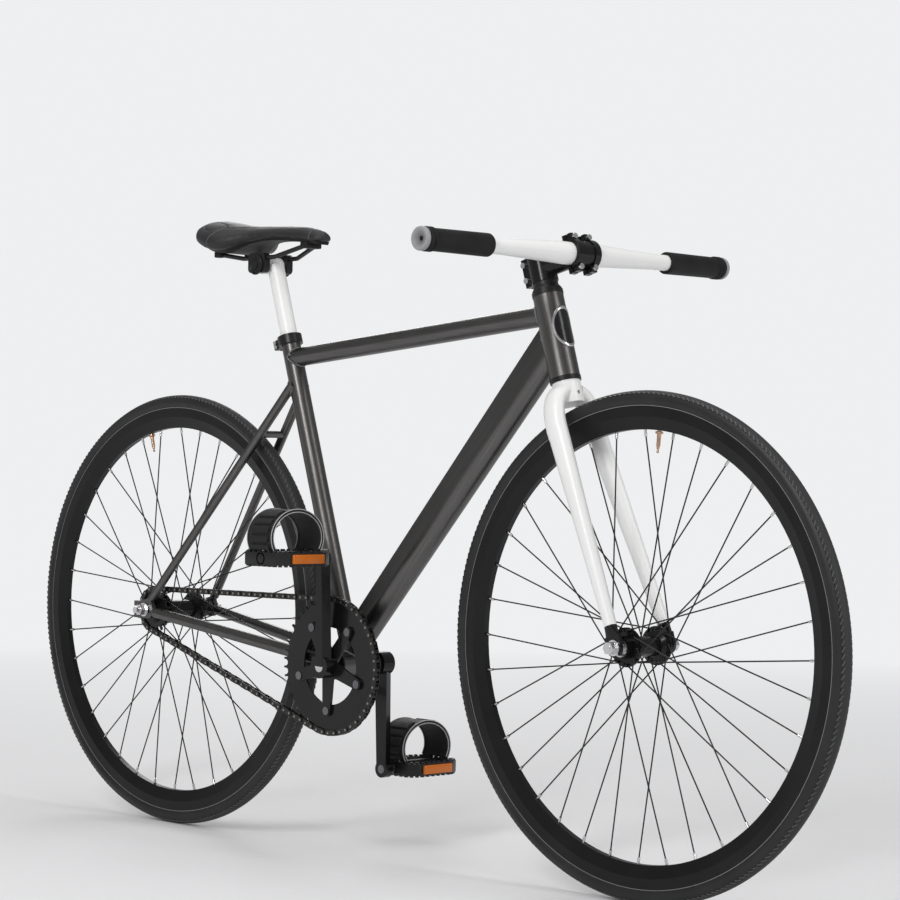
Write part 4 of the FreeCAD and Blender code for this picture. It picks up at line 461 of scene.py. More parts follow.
def spacedPath(tree, inputs, spacing):
    path = treeNode(tree, "GeometryNodeMeshToCurve", {"Mesh": inputs.outputs["Geometry"]})
    return treeNode(tree, "GeometryNodeResampleCurve", {
        "Curve": path.outputs["Curve"], "Length": inputs.outputs[spacing],
    }, mode="LENGTH").outputs["Curve"]


def endTree(tree, inputs, output, geometry, smoothed):
    real = treeNode(tree, "GeometryNodeRealizeInstances", {"Geometry": geometry})
    smooth = treeNode(tree, "GeometryNodeSetShadeSmooth", {
        "Geometry": real.outputs["Geometry"], "Shade Smooth": smoothed,
    })
    painted = treeNode(tree, "GeometryNodeSetMaterial", {
        "Geometry": smooth.outputs["Geometry"], "Material": inputs.outputs["Finish"],
    })
    tree.links.new(painted.outputs["Geometry"], output.inputs["Geometry"])
    return tree


def copiesTree(name, shape):
    tree, inputs, output = startTree(name, {
        "Spacing": "NodeSocketFloat", "Size": "NodeSocketVector", "Tilt": "NodeSocketFloat",
        "Centre": "NodeSocketVector", "Finish": "NodeSocketMaterial",
    })
    place = treeNode(tree, "GeometryNodeInputPosition")
    outward = treeNode(tree, "ShaderNodeVectorMath", {
        0: place.outputs["Position"], 1: inputs.outputs["Centre"],
    }, operation="SUBTRACT")
    tangent = treeNode(tree, "GeometryNodeInputTangent")
    lifted = treeNode(tree, "FunctionNodeAlignRotationToVector", {"Vector": outward.outputs["Vector"]}, axis="Z")
    turned = treeNode(tree, "FunctionNodeAlignRotationToVector", {
        "Rotation": lifted.outputs["Rotation"], "Vector": tangent.outputs["Tangent"],
    }, axis="X", pivot_axis="Z")
    tilt = treeNode(tree, "ShaderNodeCombineXYZ", {"Z": inputs.outputs["Tilt"]})
    tiltTurn = treeNode(tree, "FunctionNodeEulerToRotation", {"Euler": tilt.outputs["Vector"]})
    tilted = treeNode(tree, "FunctionNodeRotateRotation", {
        "Rotation": turned.outputs["Rotation"], "Rotate By": tiltTurn.outputs["Rotation"],
    }, rotation_space="LOCAL")
    if shape == "bead":
        copy = treeNode(tree, "GeometryNodeMeshUVSphere", {"Segments": 8, "Rings": 5, "Radius": 0.5})
    else:
        copy = treeNode(tree, "GeometryNodeMeshCube", {"Size": (1, 1, 1)})
    copies = treeNode(tree, "GeometryNodeInstanceOnPoints", {
        "Points": spacedPath(tree, inputs, "Spacing"), "Instance": copy.outputs["Mesh"],
        "Rotation": tilted.outputs["Rotation"], "Scale": inputs.outputs["Size"],
    })
    return endTree(tree, inputs, output, copies.outputs["Instances"], shape == "bead")


def cordTree(name):
    tree, inputs, output = startTree(name, {
        "Radius": "NodeSocketFloat", "Step": "NodeSocketFloat", "Finish": "NodeSocketMaterial",
    })
    section = treeNode(tree, "GeometryNodeCurvePrimitiveCircle", {
        "Resolution": 8, "Radius": inputs.outputs["Radius"],
    })
    tube = treeNode(tree, "GeometryNodeCurveToMesh", {
        "Curve": spacedPath(tree, inputs, "Step"), "Profile Curve": section.outputs["Curve"], "Fill Caps": True,
    })
    return endTree(tree, inputs, output, tube.outputs["Mesh"], True)


beadCopies = copiesTree("bead_copies", "bead")
ribCopies = copiesTree("rib_copies", "rib")
pipingCord = cordTree("piping_cord")


# runs of points, each open or closed, become one plain mesh of copies
def alongPaths(name, tree, runs, **values):
    points, edges = [], []
    for run, closed in runs:
        start = len(points)
        points += [tuple(point) for point in run]
        edges += [(start + at, start + at + 1) for at in range(len(run) - 1)]
        if closed:
            edges.append((len(points) - 1, start))
    pathMesh = bpy.data.meshes.new(name + "_path")
    pathMesh.from_pydata(points, edges, [])
    piece = bpy.data.objects.new(name, pathMesh)
    scene.collection.objects.link(piece)
    modifier = piece.modifiers.new("copies", "NODES")
    modifier.node_group = tree
    sockets = {item.name: item.identifier for item in tree.interface.items_tree
               if item.item_type == "SOCKET" and item.in_out == "INPUT"}
    for label, value in values.items():
        modifier[sockets[label]] = value
    applyModifiers(piece)
    bpy.data.meshes.remove(pathMesh)
    return piece


# tyres: a lathe section with a tread band, a groove each side of it and plain sidewalls
tyreSizes = {
    "middle": 0.3235, "treadRound": 0.0125, "wallRound": 0.01235, "inside": 0.0100, "groove": 0.0119,
    "treadHalf": 50, "grooveWide": 3.0, "wallEnd": 121, "neckRadius": 0.3158, "neckHalf": 0.0081,
    "beadRadius": 0.3114, "beadInHalf": 0.0058, "steps": 240,
    "ribSpacing": 0.0085, "ribSize": (0.0014, 0.0076, 0.0008), "ribAngle": 45, "ribTilt": 1.0,
    "ribRing": 360, "ribCentre": 0.62,
}


def tyreProfile(sizes):
    tread, groove, wallEnd = sizes["treadHalf"], sizes["grooveWide"], sizes["wallEnd"]
    side = [(angle, "treadRound") for angle in (0, 12, 24, 36, 46, tread)]
    side += [(tread + 0.3 * groove, "groove"), (tread + 0.7 * groove, "groove"), (tread + groove, "wallRound")]
    side += [(tread + groove + (wallEnd - tread - groove) * step / 6, "wallRound") for step in range(1, 7)]
    outer = []
    for angle, key in side:
        turn = math.radians(angle)
        outer.append((sizes["middle"] + sizes[key] * math.cos(turn), sizes[key] * math.sin(turn)))
    outer += [(sizes["neckRadius"], sizes["neckHalf"]), (sizes["beadRadius"], sizes["neckHalf"]),
              (sizes["beadRadius"], sizes["beadInHalf"])]
    for angle in (130, 105, 80, 55, 28):
        turn = math.radians(angle)
        outer.append((sizes["middle"] + sizes["inside"] * math.cos(turn), sizes["inside"] * math.sin(turn)))
    top = (sizes["middle"] + sizes["inside"], 0.0)
    back = [(radius, -along) for radius, along in reversed(outer[1:])]
    return outer + [top] + back


tyreLook = {"dark": (0.013, 0.013, 0.0135), "light": (0.020, 0.020, 0.0205), "dust": (0.034, 0.0335, 0.033),
            "treadFrom": 0.3312, "treadTo": 0.3322}
# painted highlight: the tread ribs are tinted much lighter than the tyre's own rubber, standing in for light catching
# their edges
ribHighlightRubber = plainFinish("rib_rubber_painted_highlight", (0.060, 0.060, 0.060), (0.090, 0.090, 0.090), (0.40, 0.52), (2600, 0.1, 0.0002),
                        drift=30, specular=0.3)


def tyreFinish(name, axle):
    material, shader = startMaterial(name, specular=0.32)
    point = objectPoint(material, axle)
    tread = spread(material, awayFromLine(material, point), tyreLook["treadFrom"], tyreLook["treadTo"])
    grain = noise(material, point, 2600, 2.0)
    clouds = noise(material, point, 14)
    wall = ramp(material, clouds, (0.3, tyreLook["dark"]), (0.7, tyreLook["light"]))
    crown = ramp(material, grain, (0.3, tyreLook["light"]), (0.75, tyreLook["dust"]))
    feed(material, mixed(material, tread, wall, crown), shader.inputs["Base Color"])
    rough = sums(material, "ADD", between(material, grain, 0.40, 0.50), sums(material, "MULTIPLY", tread, 0.14))
    feed(material, rough, shader.inputs["Roughness"])
    bumped(material, shader, grain, 0.18, 0.0003)
    return material


for wheelName, axle in wheels.items():
    rubber = tyreFinish(wheelName + "_tyre_rubber", axle)
    place = axisPlace(axle, sideways)
    tyreMesh = turnedMesh(wheelName + "_tyre_body", tyreProfile(tyreSizes), place, tyreSizes["steps"], True,
                          sharpAngle=24)
    addPiece(wheelName + "_tyre_body", tyreMesh, rubber, wheelName + "_wheel", "tyre", wheelName + "_tyre")
    lean = math.radians(tyreSizes["ribAngle"])
    ringRadius = tyreSizes["middle"] + tyreSizes["treadRound"] * math.cos(lean)
    for side, word in ((-1, "right"), (1, "left")):
        ringMiddle = axle + sideways * (side * tyreSizes["treadRound"] * math.sin(lean))
        turns = [math.tau * step / tyreSizes["ribRing"] for step in range(tyreSizes["ribRing"])]
        ring = [ringMiddle + Vector((math.cos(turn), 0, math.sin(turn))) * ringRadius for turn in turns]
        middleOfRound = axle - sideways * (side * ringRadius * math.tan(lean) * tyreSizes["ribCentre"])
        ribs = alongPaths(f"{wheelName}_tread_{word}", ribCopies, [(ring, True)], Spacing=tyreSizes["ribSpacing"],
                          Size=tyreSizes["ribSize"], Tilt=-side * tyreSizes["ribTilt"], Centre=middleOfRound,
                          Finish=ribHighlightRubber)
        settle(ribs, wheelName + "_wheel", "tyre")
print("tyres ready")


# inner tubes: the hidden ring and the valve that shows through the rim
valveSizes = {"front": 85, "rear": 105, "ringMiddle": 0.3235, "ringRound": 0.0072, "stem": 0.0029, "tip": 0.2545}
valveMetal = plainFinish("valve_metal", (0.52, 0.33, 0.22), (0.62, 0.42, 0.30), (0.22, 0.34), (1600, 0.06, 0.0002),
                         drift=60, metallic=1.0)
tubeRubber = plainFinish("tube_rubber", (0.012, 0.012, 0.012), (0.02, 0.02, 0.02), (0.6, 0.7), (900, 0.1, 0.0003))


def valveProfile():
    stem = valveSizes["stem"]
    profile = [(0.0, 0.0), (0.0011, 0.0), (0.0016, 0.0004), (0.0017, 0.0030), (0.0013, 0.0036), (0.0013, 0.0056),
               (0.0021, 0.0060), (0.0021, 0.0086), (stem, 0.0092)]
    for turn in range(9):  # thread on the stem
        base = 0.0096 + turn * 0.0013
        profile += [(stem, base), (stem - 0.0003, base + 0.0004), (stem - 0.0003, base + 0.0009), (stem, base + 0.0012)]
    profile += [(stem, 0.0250), (0.0046, 0.0252), (0.0052, 0.0258), (0.0052, 0.0278), (0.0046, 0.0284), (stem, 0.0285),
                (stem, 0.0560), (0.0, 0.0560)]
    return profile


for wheelName, axle in wheels.items():
    angle = math.radians(valveSizes[wheelName])
    outward = Vector((math.cos(angle), 0, math.sin(angle)))
    stemPlace = axisPlace(axle + outward * valveSizes["tip"], outward, sideways)
    stemMesh = turnedMesh(wheelName + "_stem", valveProfile(), stemPlace, steps=20)
    ringTurns = [math.tau * step / 12 for step in range(12)]
    ringProfile = [(valveSizes["ringMiddle"] + valveSizes["ringRound"] * math.cos(turn),
                    valveSizes["ringRound"] * math.sin(turn)) for turn in ringTurns]
    ringMesh = turnedMesh(wheelName + "_ring", ringProfile, axisPlace(axle, sideways), closed=True)
    body = wheelName + "_wheel"
    addPiece(wheelName + "_valve", stemMesh, valveMetal, body, "tube_rubber")
    addPiece(wheelName + "_air_tube", ringMesh, tubeRubber, body, "tube_rubber", wheelName + "_inner_tube")
print("valves ready")


# grips and bar-end plugs
gripProfile = [(0.0113, 0.1763), (0.0138, 0.1763), (0.0149, 0.1767), (0.0155, 0.1777), (0.0156, 0.1800),
               (0.0153, 0.2250), (0.0150, 0.2806), (0.0153, 0.2810), (0.0163, 0.2813), (0.0163, 0.2838),
               (0.0159, 0.2842), (0.0150, 0.2846), (0.0150, 0.2868), (0.0153, 0.2872), (0.0163, 0.2876),
               (0.0163, 0.2905), (0.0160, 0.2918), (0.0157, 0.2932), (0.0150, 0.2939), (0.0113, 0.2939)]
plugProfile = [(0.0, 0.2943), (0.0152, 0.2943), (0.0158, 0.2950), (0.0158, 0.2984), (0.0154, 0.2998),
               (0.0146, 0.3007), (0.0134, 0.3010), (0.0116, 0.3004), (0.0080, 0.2987), (0.0052, 0.2976),
               (0.0036, 0.2971), (0.0030, 0.2966), (0.0026, 0.2960), (0.0025, 0.2951), (0.0, 0.2950)]


# painted shade: a black spot at the plug's middle stands for the shade of a hole that the mesh does not have, and the
# dish is painted darker towards its middle
plugLook = {"holeShade": 0.0031, "shadeFrom": 0.0030, "shadeTo": 0.0125, "black": (0.01, 0.01, 0.01)}


def plugFinish():
    material, shader = startMaterial("plug_grey", specular=0.4)
    point = objectPoint(material, layout["barMiddle"])
    away = awayFromLine(material, point)
    # painted shade: a black spot for the hole, and a dish colour that darkens towards the middle
    holeShade = sums(material, "LESS_THAN", away, plugLook["holeShade"])
    fine = noise(material, point, 1500, 2.0)
    dishShade = spread(material, away, plugLook["shadeFrom"], plugLook["shadeTo"])
    inner = ramp(material, fine, (0.3, (0.085, 0.085, 0.087)), (0.7, (0.105, 0.105, 0.107)))
    outer = ramp(material, fine, (0.3, (0.25, 0.25, 0.255)), (0.7, (0.30, 0.30, 0.305)))
    grey = mixed(material, dishShade, inner, outer)
    return surfaced(material, shader, mixed(material, holeShade, grey, plugLook["black"]), (fine, 0.34, 0.46),
                    (fine, 0.10, 0.0002))


gripRubber = plainFinish("grip_rubber", (0.007, 0.007, 0.0075), (0.012, 0.012, 0.0125), (0.50, 0.64),
                         (2200, 0.22, 0.0003), drift=30, specular=0.2)
plugGrey = plugFinish()
gripMeshes, plugMeshes = [], []
for side in (-1, 1):
    place = axisPlace(layout["barMiddle"], sideways * side)
    gripMeshes.append(turnedMesh("grip_half", gripProfile, place, steps=72, sharpAngle=40))
    plugMeshes.append(turnedMesh("plug_half", plugProfile, place, steps=48, sharpAngle=40))
addPiece("grip_pair", joined("grip_pair", *gripMeshes), gripRubber, "handlebar", "grip_rubber", "grips")
addPiece("plug_pair", joined("plug_pair", *plugMeshes), plugGrey, "handlebar", "plug_grey", "bar_end_plugs")
print("grips ready")


# saddle cover: a padded shell, swollen as cloth, with seams drawn in afterwards
saddleSections = [  # share of the length from the nose, share of the width, underside and top above the rails in mm
    (0.005, 0.15, 24.0, 31.5), (0.05, 0.27, 21.0, 38.5), (0.18, 0.32, 26.0, 45.5), (0.40, 0.40, 31.0, 49.0),
    (0.58, 0.62, 26.0, 51.0), (0.70, 0.92, 15.5, 55.0), (0.80, 1.00, 16.0, 60.5), (0.91, 0.92, 26.0, 64.0),
    (0.985, 0.66, 38.0, 62.5),
]
saddleSizes = {
    "noseX": layout["saddlePivot"].x + 0.131, "length": 0.264, "width": 0.130,
    "railHeight": layout["saddlePivot"].z + 0.011, "stations": 44, "shrink": 0.0010, "tuck": 0.0026, "voxel": 0.004,
    "pressure": 4.0, "cap": 0.004, "frames": 20, "smoothing": 3, "fill": 0.75,
}
seamLines = {  # start and end shares of the length, start and end degrees from the top, steps
    "flank": (0.735, 0.46, 68, 34, 40), "tail": (0.735, 0.80, 68, 104, 24), "nose": (0.10, 0.10, -104, 104, 30),
}
lobeSizes = {"middle": 0.83, "long": 0.085, "aside": 0.57, "wide": 0.22, "steps": 48}
seamSizes = {"depth": 0.0011, "width": 0.0016, "parts": 6, "stitchSpacing": 0.0034, "stitch": (0.0026, 0.0008, 0.0006)}
coverSide = [(0.0, 0.0), (0.30, 0.0), (0.60, 0.0), (0.88, 0.0), (0.97, 0.12), (1.0, 0.30), (0.95, 0.47), (0.78, 0.66),
             (0.56, 0.825), (0.30, 0.95), (0.0, 1.0)]


def saddleStation(share):
    after = next((at for at, row in enumerate(saddleSections) if row[0] >= share), len(saddleSections) - 1)
    after = max(after, 1)
    rows = [saddleSections[min(max(at, 0), len(saddleSections) - 1)] for at in range(after - 2, after + 2)]
    part = (share - rows[1][0]) / (rows[2][0] - rows[1][0])
    values = []
    for column in range(1, 4):
        before, low, high, beyond = (row[column] for row in rows)
        slopeIn, slopeOut = (high - before) / 2, (beyond - low) / 2
        square, cube = part ** 2, part ** 3
        values.append((2 * cube - 3 * square + 1) * low + (cube - 2 * square + part) * slopeIn
                      + (3 * square - 2 * cube) * high + (cube - square) * slopeOut)
    half = values[0] * saddleSizes["width"] / 2
    base = saddleSizes["railHeight"] + values[1] / 1000 - saddleSizes["tuck"]
    top = saddleSizes["railHeight"] + values[2] / 1000
    return saddleSizes["noseX"] - share * saddleSizes["length"], half, base, top


def saddleBase():
    points = []
    ring = coverSide + [(-across, height) for across, height in reversed(coverSide[1:-1])]
    stations = saddleSizes["stations"]
    first, last = saddleSections[0][0], saddleSections[-1][0]
    for step in range(stations):
        x, half, base, top = saddleStation(first + (last - first) * step / (stations - 1))
        points += [Vector((x, across * half, base + height * (top - base))) for across, height in ring]
    return meshFrom("saddle_base", points, tubeFaces(stations, len(ring)))


def swollenCover(mesh):
    cover = addObject("saddle_pad", mesh)
    shrink = cover.modifiers.new("shrink", "DISPLACE")
    shrink.strength = -saddleSizes["shrink"]
    shrink.mid_level = 0.0
    remesh = cover.modifiers.new("remesh", "REMESH")
    remesh.mode, remesh.voxel_size = "VOXEL", saddleSizes["voxel"]
    withModifiers(cover, 180)
    start = [vertex.co.copy() for vertex in cover.data.vertices]
    seated = cover.vertex_groups.new(name="seated")
    for vertex in cover.data.vertices:
        seated.add([vertex.index], 1.0 if vertex.normal.z < -0.75 else 0.0, "REPLACE")
    cloth = cover.modifiers.new("cloth", "CLOTH")
    cloth.settings.use_pressure = True
    cloth.settings.uniform_pressure_force = saddleSizes["pressure"]
    cloth.settings.effector_weights.gravity = 0
    cloth.settings.vertex_group_mass = "seated"
    cloth.point_cache.frame_end = saddleSizes["frames"]
    for number in range(1, saddleSizes["frames"] + 1):
        scene.frame_set(number)
    withModifiers(cover, 180)
    for vertex, before in zip(cover.data.vertices, start):
        move = vertex.co - before
        if move.length > saddleSizes["cap"]:
            vertex.co = before + move * (saddleSizes["cap"] / move.length)
    scene.frame_set(1)
    work = bmesh.new()
    work.from_mesh(cover.data)
    for _ in range(saddleSizes["smoothing"]):
        bmesh.ops.smooth_vert(work, verts=work.verts, factor=0.5, use_axis_x=True, use_axis_y=True, use_axis_z=True)
    work.to_mesh(cover.data)
    work.free()
    finer = cover.modifiers.new("finer", "SUBSURF")
    finer.levels = finer.render_levels = 1
    return withModifiers(cover, 180)


def saddleSeams(tree):
    runs = []

    def onCover(origin, direction):
        return tree.ray_cast(origin + direction * 0.2, -direction)[0]

    def section(share, angle):
        x, half, base, top = saddleStation(share)
        return onCover(Vector((x, 0, base + 0.45 * (top - base))), Vector((0, math.sin(angle), math.cos(angle))))

    def sweep(start, end, first, last, steps):
        angles = [math.radians(first + (last - first) * at / steps) for at in range(steps + 1)]
        return [section(start + (end - start) * at / steps, angle) for at, angle in enumerate(angles)]

    for side in (-1, 1):
        for start, end, first, last, steps in (seamLines["flank"], seamLines["tail"]):
            runs.append((sweep(start, end, side * first, side * last, steps), False))
        lobe = []
        for at in range(lobeSizes["steps"]):
            turn = math.tau * at / lobeSizes["steps"]
            x, half, base, top = saddleStation(lobeSizes["middle"] + lobeSizes["long"] * math.cos(turn))
            aside = side * half * (lobeSizes["aside"] + lobeSizes["wide"] * math.sin(turn))
            lobe.append(onCover(Vector((x, aside, top)), Vector((0, 0, 1))))
        runs.append((lobe, True))
    runs.append((sweep(*seamLines["nose"]), False))
    return [([point for point in run if point], closed) for run, closed in runs]


def leatherFinish():
    material, shader = startMaterial("saddle_leather", specular=0.3)
    point = objectPoint(material)
    cells = addNode(material, "ShaderNodeTexVoronoi", {"Vector": point, "Scale": 620.0}, feature="DISTANCE_TO_EDGE")
    grain = spread(material, cells.outputs["Distance"], 0.0, 0.22)
    clouds = noise(material, point, 26)
    colour = ramp(material, clouds, (0.3, (0.017, 0.017, 0.018)), (0.7, (0.027, 0.027, 0.029)))
    return surfaced(material, shader, colour, (clouds, 0.40, 0.50), (grain, 0.16, 0.0004))


cover = swollenCover(saddleBase())
cover.data.materials.clear()
cover.data.materials.append(leatherFinish())
seamRuns = saddleSeams(treeOf(cover.data))
seamPoints = kdtree.KDTree(sum(len(run) for run, _ in seamRuns) * seamSizes["parts"])
for run, closed in seamRuns:
    pairs = list(zip(run, run[1:] + run[:1] if closed else run[1:]))
    for number, (first, second) in enumerate(pairs):
        for part in range(seamSizes["parts"]):
            seamPoints.insert(first.lerp(second, part / seamSizes["parts"]), number)
seamPoints.balance()
normals = [vertex.normal.copy() for vertex in cover.data.vertices]
for vertex, normal in zip(cover.data.vertices, normals):
    near = seamPoints.find(vertex.co)[2]
    vertex.co -= normal * seamSizes["depth"] * math.exp(-(near / seamSizes["width"]) ** 2)
cover.data.update()
settle(cover, "saddle", "saddle_leather", "saddle_cover")
threadLook = plainFinish("seam_thread", (0.20, 0.20, 0.205), (0.28, 0.28, 0.285), (0.6, 0.75), (2500, 0.2, 0.0003))
stitches = alongPaths("saddle_stitches", beadCopies, seamRuns, Spacing=seamSizes["stitchSpacing"],
                      Size=seamSizes["stitch"], Tilt=0.0, Centre=layout["saddlePivot"], Finish=threadLook)
settle(stitches, "saddle", "saddle_leather")
print("saddle ready")


# clamp discs: a ridged round washer under each nut of the saddle clamp's bolt
discSizes = {"inner": 0.0284, "outer": 0.0312, "radius": 0.0152, "bore": 0.0046, "ridges": 3, "chamfer": 0.0008,
             "ridgesFrom": 0.0142, "ridgesTo": 0.0070, "groove": 0.0007}


def discProfile():
    inner, outer, radius, bore = (discSizes[key] for key in ("inner", "outer", "radius", "bore"))
    low = outer - discSizes["groove"]
    profile = [(bore, inner), (radius, inner), (radius, outer - discSizes["chamfer"]),
               (radius - discSizes["chamfer"], outer)]
    step = (discSizes["ridgesFrom"] - discSizes["ridgesTo"]) / discSizes["ridges"]
    for ridge in range(discSizes["ridges"]):
        edge = discSizes["ridgesFrom"] - ridge * step
        profile += [(edge, outer), (edge - 0.3 * step, low), (edge - 0.7 * step, low), (edge - 0.95 * step, outer)]
    return profile + [(bore, outer)]


discMeshes = [turnedMesh("disc", discProfile(), axisPlace(layout["saddlePivot"], sideways * side), steps=48,
                         closed=True, sharpAngle=40) for side in (-1, 1)]
addPiece("clamp_discs", joined("clamp_discs", *discMeshes), blackSatin, "saddle_clamp", "black_alloy")
print("clamp discs ready")


# pedals: an eight-sided cage with teeth, ribs, a spindle tube and an end cap
pedalSizes = {
    "long": 0.088, "wide": 0.100, "barHalf": 0.034, "sideHalf": 0.034, "wall": 0.007, "high": 0.0180,
    "tooth": (0.0050, 0.0058, 0.0226), "toothPitch": 0.0112, "tube": 0.0100, "bore": 0.0067, "chamfer": 0.001,
    "ribAside": 0.017, "ribDrop": 0.001, "ribWide": 0.0042, "ribHigh": 0.0110, "bevel": 0.0007,
}
pedalPlastic = plainFinish("pedal_plastic", (0.007, 0.007, 0.0075), (0.013, 0.013, 0.0135), (0.36, 0.50),
                           (1300, 0.16, 0.0003), specular=0.35)


def boxMesh(name, middle, size, turn=0.0):
    work = bmesh.new()
    bmesh.ops.create_cube(work, size=1.0)
    spin = Matrix.Rotation(turn, 3, "Z")
    for vertex in work.verts:
        vertex.co = middle + spin @ Vector((vertex.co.x * size[0], vertex.co.y * size[1], vertex.co.z * size[2]))
    mesh = bpy.data.meshes.new(name)
    work.to_mesh(mesh)
    work.free()
    return mesh


def bevelled(piece, width, sharpAngle=40):
    bevel = piece.modifiers.new("bevel", "BEVEL")
    bevel.width, bevel.segments, bevel.limit_method = width, 2, "ANGLE"
    return withModifiers(piece, sharpAngle)


def boxMiddle(nodeName):
    low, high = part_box(nodeName)
    return (Vector(low) + Vector(high)) / 2


def eightCorners(inset):
    along, across = pedalSizes["long"] / 2 - inset, pedalSizes["wide"] / 2 - inset
    barHalf, sideHalf = pedalSizes["barHalf"] - inset / 2, pedalSizes["sideHalf"] - inset / 2
    quarter = [(along, barHalf), (sideHalf, across)]
    corners = quarter + [(-x, y) for x, y in reversed(quarter)]
    return [Vector((x, y, 0)) for x, y in corners + [(-x, -y) for x, y in corners]]


def cageRing(name, middle):
    rings = []
    for inset, height in ((0.0, -0.5), (0.0, 0.5), (pedalSizes["wall"], 0.5), (pedalSizes["wall"], -0.5)):
        lift = Vector((0, 0, height * pedalSizes["high"]))
        rings += [middle + corner + lift for corner in eightCorners(inset)]
    faces = []
    for ring in range(4):
        for at in range(8):
            after, beyond = (at + 1) % 8, (ring + 1) % 4
            faces.append([ring * 8 + at, ring * 8 + after, beyond * 8 + after, beyond * 8 + at])
    return meshFrom(name, rings, faces)


def pedalMesh(word, side, middle):
    sizes = pedalSizes
    meshes = [cageRing("cage", middle)]
    track = eightCorners(sizes["wall"] / 2)
    for first, second in zip(track, track[1:] + track[:1]):
        run = second - first
        count = max(2, round(run.length / sizes["toothPitch"]))
        for step in range(count):
            spot = middle + first.lerp(second, (step + 0.5) / count)
            meshes.append(boxMesh("tooth", spot, sizes["tooth"], math.atan2(run.y, run.x)))
    reach = (sizes["long"] - sizes["wall"]) / 2
    for way in (-1, 1):
        for across in (-sizes["ribAside"], sizes["ribAside"]):
            spot = middle + Vector((way * reach / 2, across, -sizes["ribDrop"]))
            meshes.append(boxMesh("rib", spot, (reach, sizes["ribWide"], sizes["ribHigh"])))
    half, bore, outer, cut = sizes["wide"] / 2, sizes["bore"], sizes["tube"], sizes["chamfer"]
    tubeProfile = [(bore, -half), (outer - cut, -half), (outer, -half + cut), (outer, half - cut), (outer - cut, half),
                   (bore, half)]
    tube = turnedMesh("tube", tubeProfile, axisPlace(middle, sideways * side), steps=40, closed=True)
    capProfile = [(0.0, half - 0.0030), (0.0064, half - 0.0030), (0.0064, half - 0.0012), (0.0052, half - 0.0004),
                  (0.0, half - 0.0004)]
    cap = turnedMesh("cap", capProfile, axisPlace(middle, sideways * side), steps=6)
    return joined("pedal_cage_" + word, *meshes), joined("pedal_core_" + word, tube, cap)


# foot straps: an arched band with raised pads, light piping on both edges and short tabs into the pedal
strapSizes = {
    "half": 0.0437, "bulge": 0.0490, "top": 0.0115, "rise": 0.058, "ahead": 0.022, "long": 0.052, "thick": 0.0030,
    "roll": 0.0006, "padRise": 0.0028, "pads": [(-26, -14), (-9, 4), (9, 22), (27, 40), (46, 66)], "piping": 0.00065,
    "pipingStep": 0.0025, "tabs": [(0.0106, 0.0220), (-0.0300, -0.0106)], "tabLift": 0.0040, "tabHigh": 0.0180,
    "tabBevel": 0.0006, "steps": 96, "rollFrom": 0.43, "padTo": 0.37,
    "columns": [0.0, 0.02, 0.05, 0.08, 0.12, 0.14, 0.2, 0.35, 0.5, 0.65, 0.8, 0.86, 0.88, 0.92, 0.95, 0.98, 1.0],
}


def strapFinish():
    material, shader = startMaterial("strap_web", specular=0.2, sheen=0.08)
    point = objectPoint(material)
    weave, cross = (addNode(material, "ShaderNodeTexWave", {"Vector": point, "Scale": 260.0, "Distortion": 0.6},
                            bands_direction=way).outputs["Fac"] for way in ("X", "Z"))
    cloth = sums(material, "MULTIPLY", weave, cross)
    colour = ramp(material, cloth, (0.1, (0.008, 0.008, 0.0085)), (0.9, (0.018, 0.018, 0.0185)))
    return surfaced(material, shader, colour, (cloth, 0.58, 0.74), (cloth, 0.25, 0.0004))


strapWeb = strapFinish()
pipingLook = plainFinish("strap_piping", (0.34, 0.34, 0.345), (0.46, 0.46, 0.465), (0.45, 0.6), (2400, 0.15, 0.0003))


# the arch is the upper part of an ellipse that is a little wider than the strap's feet
def strapArch():
    sink = math.sqrt(1 - (strapSizes["half"] / strapSizes["bulge"]) ** 2)
    height = strapSizes["rise"] / (1 + sink)
    centre = strapSizes["top"] + strapSizes["rise"] - height
    start = -math.degrees(math.asin(sink))
    steps = strapSizes["steps"]
    return [start + (180 - 2 * start) * at / steps for at in range(steps + 1)], height, centre


def archPoint(angle, lift):
    _, height, centre = strapArch()
    turn = math.radians(angle)
    outward = Vector((0, math.cos(turn) / strapSizes["bulge"], math.sin(turn) / height)).normalized()
    return Vector((0, strapSizes["bulge"] * math.cos(turn), centre + height * math.sin(turn))) + outward * lift


def strapMesh(name, middle):
    angles = strapArch()[0]
    columns = strapSizes["columns"]
    edges = [strapSizes["roll"] if abs(share - 0.5) > strapSizes["rollFrom"] else 0.0 for share in columns]
    across = list(zip(columns, edges))
    points = []
    for angle in angles:
        flank = angle if angle < 90 else 180 - angle
        onPad = any(low <= flank <= high for low, high in strapSizes["pads"])
        ring = [(share, strapSizes["padRise"] if onPad and abs(share - 0.5) < strapSizes["padTo"] else edge)
                for share, edge in across]
        ring += [(share, -strapSizes["thick"] - edge) for share, edge in reversed(across)]
        for share, lift in ring:
            ahead = Vector((strapSizes["ahead"] - share * strapSizes["long"], 0, 0))
            points.append(middle + ahead + archPoint(angle, lift))
    return meshFrom(name, points, tubeFaces(len(angles), len(columns) * 2), None, 50)


def strapRuns(middle):
    runs = []
    for x in (strapSizes["ahead"], strapSizes["ahead"] - strapSizes["long"]):
        for lift in (strapSizes["roll"], -strapSizes["thick"] - strapSizes["roll"]):
            runs.append(([middle + Vector((x, 0, 0)) + archPoint(angle, lift) for angle in strapArch()[0]], False))
    return runs


# amber reflectors: a moulded lens with a prism pattern
lensSizes = {"thick": 0.004, "wide": 0.058, "high": 0.013, "bevel": 0.0009, "prism": 0.0011}


